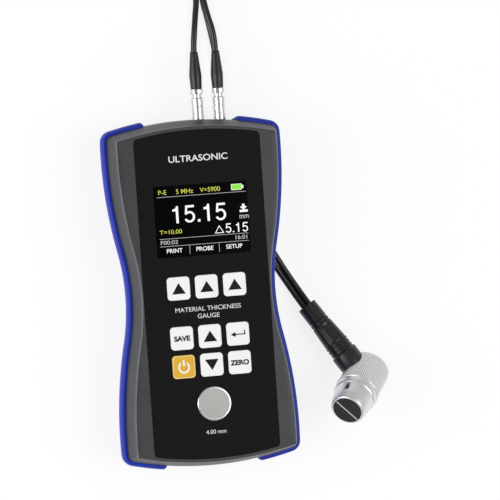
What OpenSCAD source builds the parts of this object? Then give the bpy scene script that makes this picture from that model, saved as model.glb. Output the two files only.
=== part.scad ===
// Hand-held ultrasonic thickness gauge on its back, with its angled probe on a pair of coaxial cables.
// X runs across the case, Y towards the cable end and Z up from the table.
// The origin lies on the table under the middle of the case. Sizes are in millimetres.

/* [Case] */
// Length of the case over its bumpers
body_l = 165; // [158:0.5:176]
// Width of the case over its bumpers
body_w = 85; // [83:0.5:90]
// Height of the front face above the table
body_h = 32; // [31:0.5:36]
// Width over the bumpers at the waist
waist_w = 70.8; // [70:0.2:76]
// Length over which the sides draw in to the waist
waist_l = 132; // [122:1:136]
// Radius of the hollow at the waist
waist_r = 99; // [70:1:140]
// Radius of the bowed ends
end_r = 155; // [120:5:260]
// Radius of the outer corners
corner_r = 5.5; // [5.4:0.1:6.5]
// Height of the plane where the two shells part
part_z = 11; // [10:0.1:12]
// Step of a flank in from the wall behind the bumper
flank_step = 0.8; // [0.4:0.1:1]
// Step of the ridge in from the flank
ridge_step = 0.7; // [0.4:0.1:0.9]
// Height of the ridge round the front face
ridge_h = 1; // [0.5:0.1:1.5]
// Wall of the front shell at the ridge
wall_t = 2.5; // [2:0.1:3]
// Floor of the rear shell
floor_t = 2.2; // [2:0.1:2.6]
// Plate of the front shell under the overlay
plate_t = 2.4; // [2.2:0.1:3]
// Clearance between pieces that seat in each other
fit_gap = 0.1; // [0.05:0.01:0.15]

/* [Bumpers] */
// Thickness of a bumper outside the shells
bumper_t = 2.1; // [1.6:0.1:2.2]
// Height of a bumper's upper edge above the table
bumper_top = 21; // [19:0.5:23]
// Thickness of a bumper's stepped upper lip
bumper_lip = 1.5; // [1.1:0.1:1.7]
// Height of that lip
bumper_crown = 1.8; // [1.2:0.1:3]
// Height of each of the bands that a bumper draws in by towards the table
bumper_band = 4.2; // [3.9:0.1:4.4]
// Step in from each of those bands to the one under it
bumper_step = 0.8; // [0.6:0.05:0.9]
// Gap between the two bumpers at each end of the case
tip_gap = 44; // [36:1:54]
// Depth of the tongue that the shells clamp
tongue_d = 1.4; // [1:0.1:1.6]
// Thickness of the tongue that the shells clamp
tongue_w = 2; // [1.6:0.1:2.4]
// Height of the corner feet under the back of the case
foot_h = 3.2; // [3:0.1:4]
// Run of each foot along the side of the case
foot_l = 14; // [8:1:24]
// Width of each foot
foot_w = 2.6; // [2:0.1:2.7]

/* [Front overlay] */
// Margin of the case beside the overlay at the waist
panel_side = 5.7; // [5.4:0.1:6.9]
// Margin of the case beyond the overlay at each end
panel_end = 6.5; // [6:0.1:9.5]
// Radius of the overlay's bowed ends
panel_end_r = 148; // [110:2:200]
// Corner radius of the overlay
panel_r = 2; // [1:0.1:4]
// Thickness of the overlay
panel_t = 0.6; // [0.4:0.1:0.8]

/* [Display] */
// Width of the display window
display_w = 44; // [40:0.5:46]
// Height of the display window along the case
display_l = 33; // [28:0.5:34]
// Place of the display's middle along the case
display_y = 34.5; // [33:0.5:38]
// Corner radius of the window
window_r = 1; // [0.5:0.1:2]
// Thickness of the window's rim under the overlay
window_t = 1.5; // [1:0.1:1.6]
// Width of the window's rim under the overlay
window_rim = 2; // [1.2:0.1:2.4]
// Margin of the display module round the window
module_rim = 3; // [2:0.1:3.4]

/* [Keys] */
// Side of a key cap
key_size = 10.7; // [9.5:0.1:11]
// Corner radius of a key cap
key_r = 1.7; // [1:0.1:2.5]
// Pitch of the keys
key_pitch = 13.2; // [12.8:0.1:14]
// Place of the upper navigation row along the case
nav_y = -19.4; // [-20:0.2:-18]
// Distance from that row up to the soft keys
soft_up = 23; // [21:0.2:24]
// How far a key cap stands above the front face
key_rise = 0.35; // [0.2:0.05:0.6]
// Travel of a key
key_travel = 0.4; // [0.3:0.05:0.6]
// Clearance round a key cap
key_gap = 0.18; // [0.12:0.01:0.25]
// Width of the flange that keeps a key in
key_flange = 0.7; // [0.5:0.05:0.8]
// Thickness of that flange
key_flange_t = 1; // [0.8:0.1:1.2]
// Clearance over that flange
key_stop = 0.15; // [0.1:0.01:0.2]
// Diameter of a key's plunger
plunger_d = 4; // [3:0.1:5]
// Length of a key's plunger
plunger_l = 0.8; // [0.6:0.1:1.2]
// Diameter of a snap dome
dome_d = 9; // [7:0.1:10]
// Height of a snap dome
dome_h = 1.3; // [1:0.1:1.5]
// Thickness of a snap dome
dome_t = 0.3; // [0.2:0.05:0.4]
// Room left between a pressed key and its dome
dome_slack = 0.1; // [0.05:0.01:0.2]

/* [Test disc] */
// Diameter of the steel test disc
disc_d = 16; // [12:0.5:18]
// Thickness of the steel test disc
disc_t = 4; // [3.5:0.1:5]
// Place of the disc along the case
disc_y = -50.7; // [-53:0.1:-50]
// How far the disc stands above the front face
disc_rise = 0.2; // [0.1:0.05:0.4]
// Chamfer round the disc's upper edge
disc_edge = 0.3; // [0.1:0.05:0.6]
// Wall of the cup that holds the disc
cup_t = 1.8; // [1.4:0.1:2.2]

/* [Circuit board] */
// Clearance between the board and the screw bosses beside it
board_side_gap = 0.5; // [0.3:0.1:1.5]
// Clearance between the board's ends and the end walls
board_end_gap = 3.9; // [2.9:0.1:6]
// Thickness of the board
board_t = 1.6; // [1:0.1:2]
// Distance from the board's edges to its screws
board_in = 5; // [4:0.1:6]
// Diameter of the posts that carry the board
post_d = 5; // [4:0.1:6]
// Diameter of the board screws
board_screw_d = 2; // [1.6:0.1:2.5]
// Height of the parts under the board
parts_h = 1.6; // [1:0.1:1.8]

/* [Batteries] */
// Diameter of a cell
cell_d = 14.2; // [13.5:0.1:14.5]
// Length of a cell with its button
cell_l = 50.5; // [49:0.1:51]
// Pitch of the cells
cell_pitch = 14.6; // [14.6:0.1:15]
// Diameter of a cell's button
button_d = 5.5; // [4:0.1:6]
// Height of a cell's button
button_l = 1.3; // [1:0.1:1.6]
// Room for the contacts at each end of the cells
contact_l = 1.7; // [1.5:0.1:2]
// Thickness of a contact plate
contact_t = 0.4; // [0.3:0.05:0.6]
// Distance from the lower end of the case to the battery bay's middle
bay_end = 44.5; // [43.5:0.5:46.5]
// Height of the bay's walls over the floor
bay_h = 10; // [7:0.5:12]
// Thickness of the bay's walls
bay_t = 1.4; // [1:0.1:1.6]
// Thickness of the battery door's plate
door_t = 1.2; // [1:0.1:1.4]
// Overlap of the door round the bay
door_rim = 1.8; // [1.4:0.1:2.2]
// Length of the door beyond the bay at its screws
door_tab = 9.5; // [8:0.1:10]
// Diameter of the door screws
door_screw_d = 2.3; // [2:0.1:2.6]
// Wall of the bosses that take the door screws
door_boss_t = 1.7; // [1.2:0.1:2]
// Place of the door screws either side of the middle
door_screw_x = 15; // [10:0.5:18]

/* [Case screws] */
// Distance of the case screws in from the sides
screw_in_x = 11.5; // [11:0.1:12]
// Distance of the case screws in from the ends
screw_in_y = 16.5; // [15:0.1:17]
// Diameter of the case screws
screw_d = 3; // [2.5:0.1:3.2]
// Diameter of the case screws' heads
screw_head_d = 5.6; // [5:0.1:6]
// Height of the case screws' heads
screw_head_h = 1.9; // [1.5:0.1:2]
// Depth of the counterbores for those heads
screw_sink = 2.4; // [2.2:0.1:2.6]
// Length of the case screws under the head
screw_l = 15; // [10:0.5:18]
// Diameter of the bosses that take the case screws
boss_d = 8; // [7:0.1:8.2]

/* [Cable plugs] */
// Place of the plug pair's middle across the case
plug_x = 9.6; // [6:0.1:12]
// Distance between the two plugs
plug_pitch = 10.2; // [9.8:0.1:12]
// Height of the plugs above the table
plug_z = 17; // [16.6:0.1:17.4]
// Diameter of a socket's barrel
socket_d = 7; // [6.2:0.1:7.4]
// Length of a socket's barrel
socket_l = 16; // [13:0.5:18]
// Diameter of a socket's front flange
socket_flange_d = 8.4; // [7.8:0.1:9]
// Thickness of a socket's front flange
socket_flange_t = 0.9; // [0.6:0.1:1.1]
// Diameter of a socket's nut inside the case
socket_nut_d = 9.6; // [9:0.1:9.7]
// Thickness of a socket's nut
socket_nut_t = 2.4; // [1.6:0.1:3]
// Depth of a plug in its socket
plug_in = 10; // [8:0.5:11]
// Diameter of a plug's core
core_d = 4; // [3.4:0.1:4.4]
// Diameter of a release sleeve
sleeve_d = 5.4; // [5.2:0.1:6]
// Length of a release sleeve
sleeve_l = 11; // [9:0.5:13]
// Length of the grip band at each end of a release sleeve
sleeve_band = 3.4; // [2.5:0.1:4]
// Depth of the sleeve's smooth middle below its grip bands
sleeve_step = 0.12; // [0.05:0.01:0.2]
// Clearance in front of a release sleeve
sleeve_gap = 0.2; // [0.1:0.05:0.4]
// Neck behind a release sleeve, which it slides along
neck_l = 1.2; // [1.1:0.1:2]
// Diameter of a plug's collet nut
collet_d = 5.7; // [5:0.1:6.4]
// Length of a plug's collet nut
collet_l = 2.8; // [2:0.1:4]
// Width across the collet nut's flats
collet_flat = 5.1; // [4.8:0.1:5.6]
// Length of a plug's bend relief
relief_l = 17.3; // [14:0.1:20]
// Diameter of a bend relief where it meets the nut
relief_d = 5.7; // [5:0.1:6.4]
// Diameter of a bend relief where the cable leaves it
relief_tip_d = 3.4; // [3.2:0.1:4]
// Length of the straight part of a bend relief
relief_straight = 6; // [3:0.5:9]
// Length of the core inside the bend relief
core_tail = 4; // [2:0.5:6]

/* [Probe] */
// Place of the middle of the probe's back across the case
probe_x = 81; // [78:0.1:84]
// Place of the middle of the probe's back along the case
probe_y = -42.5; // [-45:0.1:-41]
// Direction that the probe's face points, from X towards Y
probe_turn = 224; // [216:0.5:230]
// Rise of the probe's axis above the table
probe_rise = 42; // [38:1:46]
// Diameter of the knurled housing
probe_d = 20; // [19:0.1:21]
// Length of the knurled housing
probe_l = 15; // [14.5:0.1:16]
// Rounding of the housing's back edge
probe_edge = 2; // [1:0.1:2.5]
// Thickness of the housing's back
probe_back_t = 3; // [2:0.1:4]
// Diameter of the bore in the housing
probe_bore_d = 16.4; // [16:0.1:17]
// Height of the polished rim on the housing
rim_h = 0.2; // [0.1:0.05:0.4]
// Width of the polished rim on the housing
rim_l = 0.8; // [0.5:0.1:1.2]
// Length of the nose ring inside the housing
spigot_l = 8; // [5:0.1:10]
// Diameter of the nose ring where it leaves the housing
nose_d = 18.4; // [17.6:0.1:19]
// Diameter of the nose ring at its step
nose_step_d = 15.8; // [15.6:0.1:16.6]
// Distance from the housing to the step
nose_step_l = 11.4; // [9:0.1:13]
// Diameter of the nose rim
nose_rim_d = 14.9; // [14.6:0.1:15.4]
// Length of the nose ring beyond the housing
nose_l = 18.2; // [17:0.1:20]
// Width of the notch in the nose ring
notch_w = 2.2; // [1:0.1:2.5]
// Length of that notch
notch_l = 2.8; // [1.5:0.1:3.5]
// Depth of that notch
notch_d = 0.8; // [0.4:0.05:1]
// Distance of that notch from the housing
notch_gap = 2.6; // [1:0.1:3]
// Turn of that notch away from the cable entry
notch_turn = -36; // [-60:1:60]
// Diameter of the contact face
face_d = 13.5; // [12.8:0.1:13.8]
// How far the contact face stands past the nose rim
face_rise = 0.4; // [0.2:0.05:0.6]
// Length of the two delay blocks
delay_l = 14; // [12:0.1:16]
// Thickness of the barrier between the delay blocks
barrier_t = 0.6; // [0.4:0.05:0.8]
// Thickness of a crystal behind its delay block
crystal_t = 0.6; // [0.3:0.05:0.8]
// Distance of the cable entry from the probe's back
entry_l = 8.6; // [8:0.1:9.4]
// Diameter of the collar at the cable entry
collar_d = 12; // [11:0.1:13]
// Length of the collar outside the housing
collar_l = 5.4; // [4:0.1:7]
// Diameter of the collar's spigot in the housing
collar_spigot_d = 7.8; // [6:0.1:9]
// Diameter of the probe's bend relief at the collar
boot_d = 11.9; // [11:0.1:12]
// Diameter of the probe's bend relief where the cables enter
boot_tip_d = 8.7; // [8.4:0.1:9]
// Length of the narrow end of the probe's bend relief
boot_tip_l = 9; // [6:0.5:12]
// Number of grooves round the probe's bend relief
boot_rings = 4; // [2:1:5]
// Pitch of those grooves
boot_ring_pitch = 1.9; // [1.6:0.1:2.4]
// Width of a groove
boot_groove_w = 0.8; // [0.5:0.1:1]
// Depth of a groove
boot_groove_d = 0.55; // [0.3:0.05:0.8]

/* [Cables] */
// Diameter of a coaxial cable
cable_d = 2.8; // [2.4:0.1:3]
// Mean radius of the innermost turn of the coil
coil_in_r = 16; // [14:0.5:18]
// Turns in each of the coil's two layers
coil_turns = 3; // [3:1:4]
// Width of the strap round the coil
tie_w = 10; // [6:0.5:14]
// Thickness of the strap round the coil
tie_t = 0.6; // [0.4:0.1:0.8]
// Room in the strap at each side of the coil
tie_slack = 2; // [1:0.1:3]

/* [Hidden] */
$fn = 72;
// Fragments of the long arcs of the case's outline
arc_fn = 720;
eps = 0.01;

// The outline of the case is four tangent arcs a quarter: waist, shoulder, corner and end.
half_l = body_l / 2;
half_w = body_w / 2;
waist_in = half_w - waist_w / 2;
arc_sum = (pow(waist_l / 2, 2) + pow(waist_in, 2)) / (2 * waist_in);
shoulder_r = arc_sum - waist_r;
turn_a = asin(waist_l / 2 / arc_sum);
waist_c = [waist_w / 2 + waist_r, 0];
shoulder_c = [half_w - shoulder_r, waist_l / 2];
end_c = [0, half_l - end_r];
corner_c = meet(shoulder_c, shoulder_r - corner_r, end_c, end_r - corner_r);
side_a = heading(corner_c - shoulder_c);
end_a = heading(corner_c - end_c);

// Insets from that outline
shell_in = bumper_t + fit_gap;
flank_in = shell_in + flank_step;
ridge_in = flank_in + ridge_step;
groove_in = shell_in + tongue_d;
groove_h = tongue_w / 2 + fit_gap;
cavity_in = ridge_in + wall_t;
foot_in = 4 * bumper_step + foot_w;

// Heights
crown_z = bumper_top - bumper_crown;
hem_z = crown_z - 3 * bumper_band;
skin_z = body_h - panel_t;
plate_z = skin_z - plate_t;
floor_z = foot_h + floor_t;
flange_z = plate_z - key_stop - key_flange_t;
plunger_z = flange_z - plunger_l;
board_top = plunger_z - key_travel - dome_slack - dome_h;
board_z = board_top - board_t;
disc_z = body_h + disc_rise - disc_t;
soft_y = nav_y + soft_up;

// The overlay, with corners whose circles touch its sides and bowed ends
panel_w = waist_w - 2 * panel_side;
panel_l = body_l - 2 * panel_end;
panel_end_y = panel_l / 2 - panel_end_r;
panel_corner_x = panel_w / 2 - panel_r;
panel_corner_y = panel_end_y + sqrt(pow(panel_end_r - panel_r, 2) - pow(panel_corner_x, 2));
panel_touch_x = panel_corner_x * panel_end_r / (panel_end_r - panel_r);

// Places of the fasteners and of the battery bay
boss_x = half_w - screw_in_x;
boss_y = half_l - screw_in_y;
board_w = 2 * (boss_x - boss_d / 2 - board_side_gap);
board_l = 2 * (end_wall_y(cavity_in, board_w / 2) - board_end_gap);
post_x = board_w / 2 - board_in;
post_y = board_l / 2 - board_in;
cells = 3;
bay_w = cells * cell_pitch + 6 * fit_gap;
bay_l = cell_l + 2 * contact_l;
bay_y = bay_end - half_l;
door_w = bay_w + 2 * door_rim;
door_l = bay_l + door_rim + door_tab;
door_y = bay_y + (door_rim - door_tab) / 2;
door_screw_y = bay_y - bay_l / 2 - door_tab / 2 - bay_t / 2;
door_boss_d = door_screw_d + 2 * door_boss_t;
cell_z = floor_z + fit_gap + cell_d / 2;

// Places along a plug, from the front of its socket
plug_xs = [plug_x - plug_pitch / 2, plug_x + plug_pitch / 2];
socket_y = end_wall_y(shell_in, plug_xs[1] + socket_flange_d / 2);
nut_y = end_wall_y(cavity_in, plug_xs[1] + socket_nut_d / 2);
sleeve_y = socket_y + sleeve_gap;
collet_y = sleeve_y + sleeve_l + neck_l;
relief_y = collet_y + collet_l;
relief_end_y = relief_y + relief_l;

// The probe stands on the rim of its back, and its cable entry points at the cables' end.
probe_lean = 90 - probe_rise;
probe_z = probe_d / 2 * cos(probe_rise);
probe_axis = [cos(probe_rise) * cos(probe_turn), cos(probe_rise) * sin(probe_turn), sin(probe_rise)];
entry_p = [probe_x, probe_y, probe_z] + entry_l * probe_axis;
boot_tip_p = [53, -11.1, 4.4];
entry_v = boot_tip_p - entry_p;
entry_a = heading([entry_v[0], entry_v[1]]);
entry_lean = acos(entry_v[2] / norm(entry_v));
entry_turn = heading([
    entry_v * [cos(probe_lean) * cos(probe_turn), cos(probe_lean) * sin(probe_turn), -sin(probe_lean)],
    entry_v * [-sin(probe_turn), cos(probe_turn), 0]
]);
entry_slant = acos(entry_v * probe_axis / norm(entry_v));
entry_skin = (probe_d / 2 + fit_gap) / sin(entry_slant);
collar_end = entry_skin + collar_l;
boot_l = norm(entry_v) - collar_end;
spigot_d = probe_bore_d - fit_gap;
delay_back = probe_l + nose_l + face_rise - delay_l;

// The coil holds both cables side by side: each layer is a row of pairs.
coil_c = [36.8, 178];
coil_pair = 2 * cable_d;
coil_r1 = coil_in_r - cable_d;
coil_r2 = coil_in_r + (coil_turns - 1) * coil_pair + cable_d;
coil_h = 2 * cable_d;

// Cable routes, chosen by hand: out of each plug to the coil, and from the coil under the case to the probe
tail_left_p = [
    [4.5, relief_end_y, 17], [4.8, 116, 17], [5.6, 122, 16.6], [6.8, 129, 15.4], [8.1, 137, 13.4],
    [8.1, 148, 10.2], [8, 159, 7.2], [8.2, 169, 5.4], [8.2, 176, 4.8]
];
tail_right_p = [
    [14.7, relief_end_y, 17], [14.6, 116, 17], [13.9, 122, 16.6], [12.4, 129, 15.4], [11.3, 137, 13.4],
    [11.1, 148, 10.2], [11, 159, 7.2], [11, 169, 5.4], [11, 176, 4.8]
];
return_left_p = [
    [36.8, 152.2, 2.1], [31, 152.2, 1.9], [25.4, 152.2, 1.6], [19.8, 151, 1.4], [15, 147.8, 1.4],
    [11.8, 143, 1.4], [10.6, 137.4, 1.4], [10.2, 133, 1.4], [9.6, 129, 1.4], [8.4, 119, 1.4],
    [7.5, 110, 1.4], [7.5, 97, 1.4], [7.7, 84, 1.4], [9.2, 70, 1.4], [13.2, 55, 1.4], [19.6, 41, 1.4],
    [27.7, 28.7, 1.4], [35.2, 16.6, 1.4], [42.4, 4.2, 1.6], [47.8, -5, 2.6], [49.8, -8.4, 3.4],
    [50.8, -10.1, 3.9], [51.8, -11.8, 4.4]
];
return_right_p = [
    [36.8, 149.4, 2.1], [31, 149.4, 1.9], [25.4, 149.4, 1.6], [20.8, 148.4, 1.4], [17, 145.8, 1.4],
    [14.4, 142, 1.4], [13.5, 137.4, 1.4], [13.9, 133, 1.4], [14.8, 129, 1.4], [16.6, 119, 1.4],
    [17.8, 110, 1.4], [17.8, 97, 1.4], [17.8, 84, 1.4], [18.4, 70, 1.4], [20.4, 56, 1.4],
    [25, 42.6, 1.4], [30.9, 30.5, 1.4], [37.8, 18.2, 1.4], [44.8, 5.6, 1.6], [50.2, -3.6, 2.6],
    [52.2, -7, 3.4], [53.2, -8.7, 3.9], [54.2, -10.4, 4.4]
];

case_grey = [0.29, 0.3, 0.31];
back_grey = [0.2, 0.2, 0.21];
bumper_blue = [0.12, 0.2, 0.66];
film_black = [0.1, 0.1, 0.1];
board_green = [0.1, 0.4, 0.2];
rubber_black = [0.08, 0.08, 0.08];

// Angle of a plane vector from X towards Y
function heading(v) = atan2(v[1], v[0]);

// The meeting point, on the right, of a circle about p and a circle about q
function meet(p, rp, q, rq) =
    let (v = q - p, d = norm(v), a = (rp * rp - rq * rq + d * d) / (2 * d), h = sqrt(rp * rp - a * a))
    p + a * v / d + h * [-v[1], v[0]] / d;

// Where an end wall set in from the outline lies at x
function end_wall_y(inset, x) = end_c[1] + sqrt(pow(end_r - inset, 2) - x * x);

// The outline of the case, set in, with plain corners
module case_outline(inset) {
    turn_y = (waist_r + inset) * sin(turn_a);
    // The ends lap over the waist, so that the two fuse
    lap = corner_r;
    difference() {
        square([body_w, 2 * turn_y], center = true);
        for (side = [-1, 1])
            translate([side * waist_c[0], 0])
                circle(waist_r + inset, $fn = arc_fn);
    }
    for (end = [0, 1])
        mirror([0, end])
            intersection() {
                translate([-body_w, turn_y - lap])
                    square([2 * body_w, body_l]);
                translate(end_c)
                    circle(end_r - inset, $fn = arc_fn);
                between_shoulders(inset);
            }
}

// What the shoulder arcs of both sides enclose
module between_shoulders(inset) {
    intersection() {
        translate(shoulder_c)
            circle(shoulder_r - inset, $fn = arc_fn);
        mirror([1, 0])
            translate(shoulder_c)
                circle(shoulder_r - inset, $fn = arc_fn);
    }
}

// The same outline with its round corners
module round_outline(inset) {
    difference() {
        case_outline(inset);
        for (x = [0, 1], y = [0, 1])
            mirror([x, 0]) mirror([0, y]) corner_wedge();
    }
    for (x = [0, 1], y = [0, 1])
        mirror([x, 0])
            mirror([0, y])
                intersection() {
                    translate(corner_c)
                        circle(corner_r - inset);
                    corner_wedge();
                }
}

// The sector, seen from a corner's middle, that its round takes up
module corner_wedge() {
    reach = 4 * corner_r;
    translate(corner_c)
        polygon([
            [0, 0], reach * [cos(side_a), sin(side_a)],
            2 * reach * [cos((side_a + end_a) / 2), sin((side_a + end_a) / 2)],
            reach * [cos(end_a), sin(end_a)]
        ]);
}

// A rectangle with round corners
module rounded(w, l, r) {
    square([w - 2 * r, l], center = true);
    square([w, l - 2 * r], center = true);
    for (x = [-1, 1], y = [-1, 1])
        translate([x * (w / 2 - r), y * (l / 2 - r)])
            circle(r);
}

// Prism of a flat shape between two heights
module prism(from, to) {
    translate([0, 0, from])
        linear_extrude(to - from)
            children();
}

// Rod between two heights
module rod(d, from, to) {
    translate([0, 0, from])
        cylinder(d = d, h = to - from);
}

module at_corners(x, y) {
    for (sx = [-1, 1], sy = [-1, 1])
        translate([sx * x, sy * y, 0])
            children();
}

// Frame of a cable plug, with Z running out of the case
module at_plug(i, y) {
    translate([plug_xs[i], y, plug_z])
        rotate([-90, 0, 0])
            children();
}

// Frame of the probe, with Z from its back to its face
module at_probe() {
    translate([probe_x, probe_y, probe_z])
        rotate([0, probe_lean, probe_turn])
            children();
}

// Frame of the probe's cable entry, with Z towards the cables
module at_entry() {
    translate(entry_p)
        rotate([0, entry_lean, entry_a])
            children();
}

// Middles of the key caps
module at_keys() {
    for (x = [-1, 0, 1], y = [soft_y, nav_y, nav_y - key_pitch])
        translate([x * key_pitch, y, 0])
            children();
}

// The overlay's outline, grown by a clearance
module panel_outline(grow) {
    w = panel_w / 2 + grow;
    square([2 * w, 2 * panel_corner_y], center = true);
    intersection() {
        square([2 * panel_touch_x, body_l], center = true);
        between_bowed_ends(grow);
    }
    for (x = [-1, 1], y = [-1, 1])
        translate([x * panel_corner_x, y * panel_corner_y])
            circle(panel_r + grow);
}

// What the overlay's bowed ends enclose
module between_bowed_ends(grow) {
    intersection() {
        translate([0, panel_end_y])
            circle(panel_end_r + grow, $fn = arc_fn);
        translate([0, -panel_end_y])
            circle(panel_end_r + grow, $fn = arc_fn);
    }
}

// Band between two insets, held to the right of the bumpers' tips
module right_band(outer, inner) {
    intersection() {
        difference() {
            round_outline(outer);
            round_outline(inner);
        }
        translate([tip_gap / 2, -body_l])
            square([body_w, 2 * body_l]);
    }
}

// One bumper, on the right: bands that step in downwards, the tongue that the shells clamp and corner feet
module bumper() {
    prism(crown_z, bumper_top) right_band(bumper_t - bumper_lip, bumper_t);
    prism(crown_z - bumper_band, crown_z) right_band(0, bumper_t);
    prism(crown_z - 2 * bumper_band, crown_z - bumper_band) right_band(bumper_step, bumper_t);
    prism(hem_z, crown_z - 2 * bumper_band) right_band(2 * bumper_step, bumper_t + bumper_step);
    prism(foot_h - fit_gap, hem_z) right_band(3 * bumper_step, bumper_t + 2 * bumper_step);
    prism(part_z - tongue_w / 2, part_z + tongue_w / 2) right_band(bumper_t / 2, bumper_t + tongue_d);
    prism(0, foot_h - fit_gap)
        intersection() {
            difference() {
                round_outline(4 * bumper_step);
                case_outline(foot_in);
                square([3 * body_w, waist_l - 2 * foot_l], center = true);
            }
            translate([tip_gap / 2, -body_l])
                square([body_w, 2 * body_l]);
        }
}

module bumper_right() { color(bumper_blue) bumper(); }

module bumper_left() { color(bumper_blue) mirror([1, 0, 0]) bumper(); }

// Openings through the plate for the display, the keys and the disc
module front_openings() {
    prism(skin_z, body_h + 1) panel_outline(fit_gap);
    rim = window_rim + fit_gap;
    translate([0, display_y, 0]) {
        prism(skin_z - window_t, body_h) rounded(display_w + 2 * rim, display_l + 2 * rim, window_r);
        prism(plate_z - 1, body_h) rounded(display_w, display_l, window_r);
    }
    at_keys()
        prism(plate_z - 1, body_h) rounded(key_size + 2 * key_gap, key_size + 2 * key_gap, key_r);
    translate([0, disc_y, 0])
        rod(disc_d + 2 * fit_gap, disc_z, body_h + 1);
}

// Hole and spot face for one socket in the end wall
module socket_hole(i) {
    at_plug(i, 0) {
        rod(socket_d + 2 * fit_gap, nut_y - socket_nut_t, half_l);
        rod(socket_flange_d + 2 * fit_gap, socket_y - socket_flange_t, half_l);
    }
}

module front_shell() {
    color(case_grey)
        difference() {
            union() {
                difference() {
                    union() {
                        prism(part_z, part_z + groove_h) round_outline(groove_in);
                        prism(part_z + groove_h, bumper_top) round_outline(shell_in);
                        prism(bumper_top, body_h - ridge_h) round_outline(flank_in);
                        prism(body_h - ridge_h, body_h) round_outline(ridge_in);
                    }
                    prism(part_z - 1, plate_z) case_outline(cavity_in);
                }
                at_corners(boss_x, boss_y) rod(boss_d, part_z, plate_z + eps);
                at_corners(post_x, post_y) rod(post_d, board_top, plate_z + eps);
                translate([0, disc_y, 0])
                    rod(disc_d + 2 * cup_t, disc_z - cup_t, plate_z + eps);
            }
            front_openings();
            for (i = [0, 1]) socket_hole(i);
            at_corners(boss_x, boss_y) rod(screw_d, part_z - 1, part_z + screw_l);
            at_corners(post_x, post_y) rod(board_screw_d, board_top - 1, plate_z - eps);
        }
}

module rear_shell() {
    color(back_grey)
        difference() {
            union() {
                difference() {
                    union() {
                        prism(foot_h, hem_z + 2 * fit_gap) round_outline(shell_in + 2 * bumper_step);
                        prism(hem_z + fit_gap, part_z - groove_h) round_outline(shell_in + bumper_step);
                        prism(part_z - groove_h - eps, part_z) round_outline(groove_in);
                    }
                    prism(floor_z, part_z + 1) case_outline(cavity_in);
                }
                at_corners(boss_x, boss_y) rod(boss_d, floor_z - eps, part_z);
                translate([0, bay_y, 0])
                    difference() {
                        prism(floor_z - eps, floor_z + bay_h)
                            square([bay_w + 2 * bay_t, bay_l + 2 * bay_t], center = true);
                        prism(floor_z - 1, floor_z + bay_h + 1) square([bay_w, bay_l], center = true);
                    }
                for (x = [-1, 1])
                    translate([x * door_screw_x, door_screw_y, 0])
                        rod(door_boss_d, floor_z - eps, part_z);
            }
            translate([0, door_y, 0])
                prism(foot_h - 1, foot_h + door_t)
                    square([door_w + 2 * fit_gap, door_l + 2 * fit_gap], center = true);
            translate([0, bay_y, 0])
                prism(foot_h, floor_z + 1) square([bay_w, bay_l], center = true);
            for (x = [-1, 1])
                translate([x * door_screw_x, door_screw_y, 0])
                    rod(door_screw_d + 2 * fit_gap, foot_h, part_z - 1);
            at_corners(boss_x, boss_y) {
                rod(screw_head_d + 6 * fit_gap, foot_h - 1, foot_h + screw_sink);
                rod(screw_d + 2 * fit_gap, foot_h, part_z + 1);
            }
        }
}

module front_overlay() {
    color(film_black)
        difference() {
            prism(skin_z, body_h) panel_outline(0);
            translate([0, display_y, 0])
                prism(skin_z - 1, body_h + 1) rounded(display_w, display_l, window_r);
            at_keys()
                prism(skin_z - 1, body_h + 1)
                    rounded(key_size + 2 * key_gap, key_size + 2 * key_gap, key_r);
            translate([0, disc_y, 0])
                rod(disc_d + 2 * fit_gap, skin_z - 1, body_h + 1);
        }
}

module display_window() {
    color([0.05, 0.05, 0.06])
        translate([0, display_y, 0]) {
            prism(skin_z - window_t, skin_z)
                rounded(display_w + 2 * window_rim, display_l + 2 * window_rim, window_r);
            prism(skin_z - eps, body_h)
                rounded(display_w - 2 * fit_gap, display_l - 2 * fit_gap, window_r);
        }
}

module display_module() {
    color("dimgray")
        translate([0, display_y, 0])
            prism(board_top + fit_gap, plate_z - fit_gap)
                square([display_w + 2 * module_rim, display_l + 2 * module_rim], center = true);
}

// Board with the round cut-out for the disc's cup, and the parts on its underside
module main_board() {
    color(board_green)
        difference() {
            union() {
                prism(board_z, board_top) square([board_w, board_l], center = true);
                translate([0, display_y, 0])
                    prism(board_z - parts_h, board_z + eps)
                        square([display_w / 2, display_l / 2], center = true);
                translate([0, nav_y, 0])
                    prism(board_z - parts_h, board_z + eps) square([key_pitch, key_pitch], center = true);
            }
            translate([0, disc_y, -1])
                rod(disc_d + 2 * cup_t + 10 * fit_gap, board_z, board_top + 2);
            at_corners(post_x, post_y) rod(board_screw_d + 2 * fit_gap, board_z - 1, board_top + 1);
        }
}

module board_screws() {
    color("silver")
        at_corners(post_x, post_y) {
            rod(2 * board_screw_d, board_z - 0.6 * board_screw_d, board_z);
            rod(board_screw_d - fit_gap, board_z - eps, plate_z - 0.5);
        }
}

module snap_domes() {
    color("gainsboro")
        at_keys()
            translate([0, 0, board_top])
                rotate_extrude()
                    polygon([
                        [dome_d / 2, 0], [dome_d / 2, dome_t], [plunger_d / 2, dome_h], [0, dome_h],
                        [0, dome_h - dome_t], [plunger_d / 2 - dome_t, dome_h - dome_t],
                        [dome_d / 2 - 2 * dome_t, 0]
                    ]);
}

// A key: cap through the plate, flange under it and plunger over the dome
module key_cap(column, y) {
    translate([column * key_pitch, y, 0]) {
        prism(flange_z + key_flange_t - eps, body_h + key_rise) rounded(key_size, key_size, key_r);
        prism(flange_z, flange_z + key_flange_t)
            rounded(key_size + 2 * key_flange, key_size + 2 * key_flange, key_r);
        rod(plunger_d, plunger_z, flange_z + eps);
    }
}

module key_soft_left() { color("white") key_cap(-1, soft_y); }

module key_soft_middle() { color("white") key_cap(0, soft_y); }

module key_soft_right() { color("white") key_cap(1, soft_y); }

module key_save() { color("white") key_cap(-1, nav_y); }

module key_up() { color("white") key_cap(0, nav_y); }

module key_enter() { color("white") key_cap(1, nav_y); }

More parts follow.
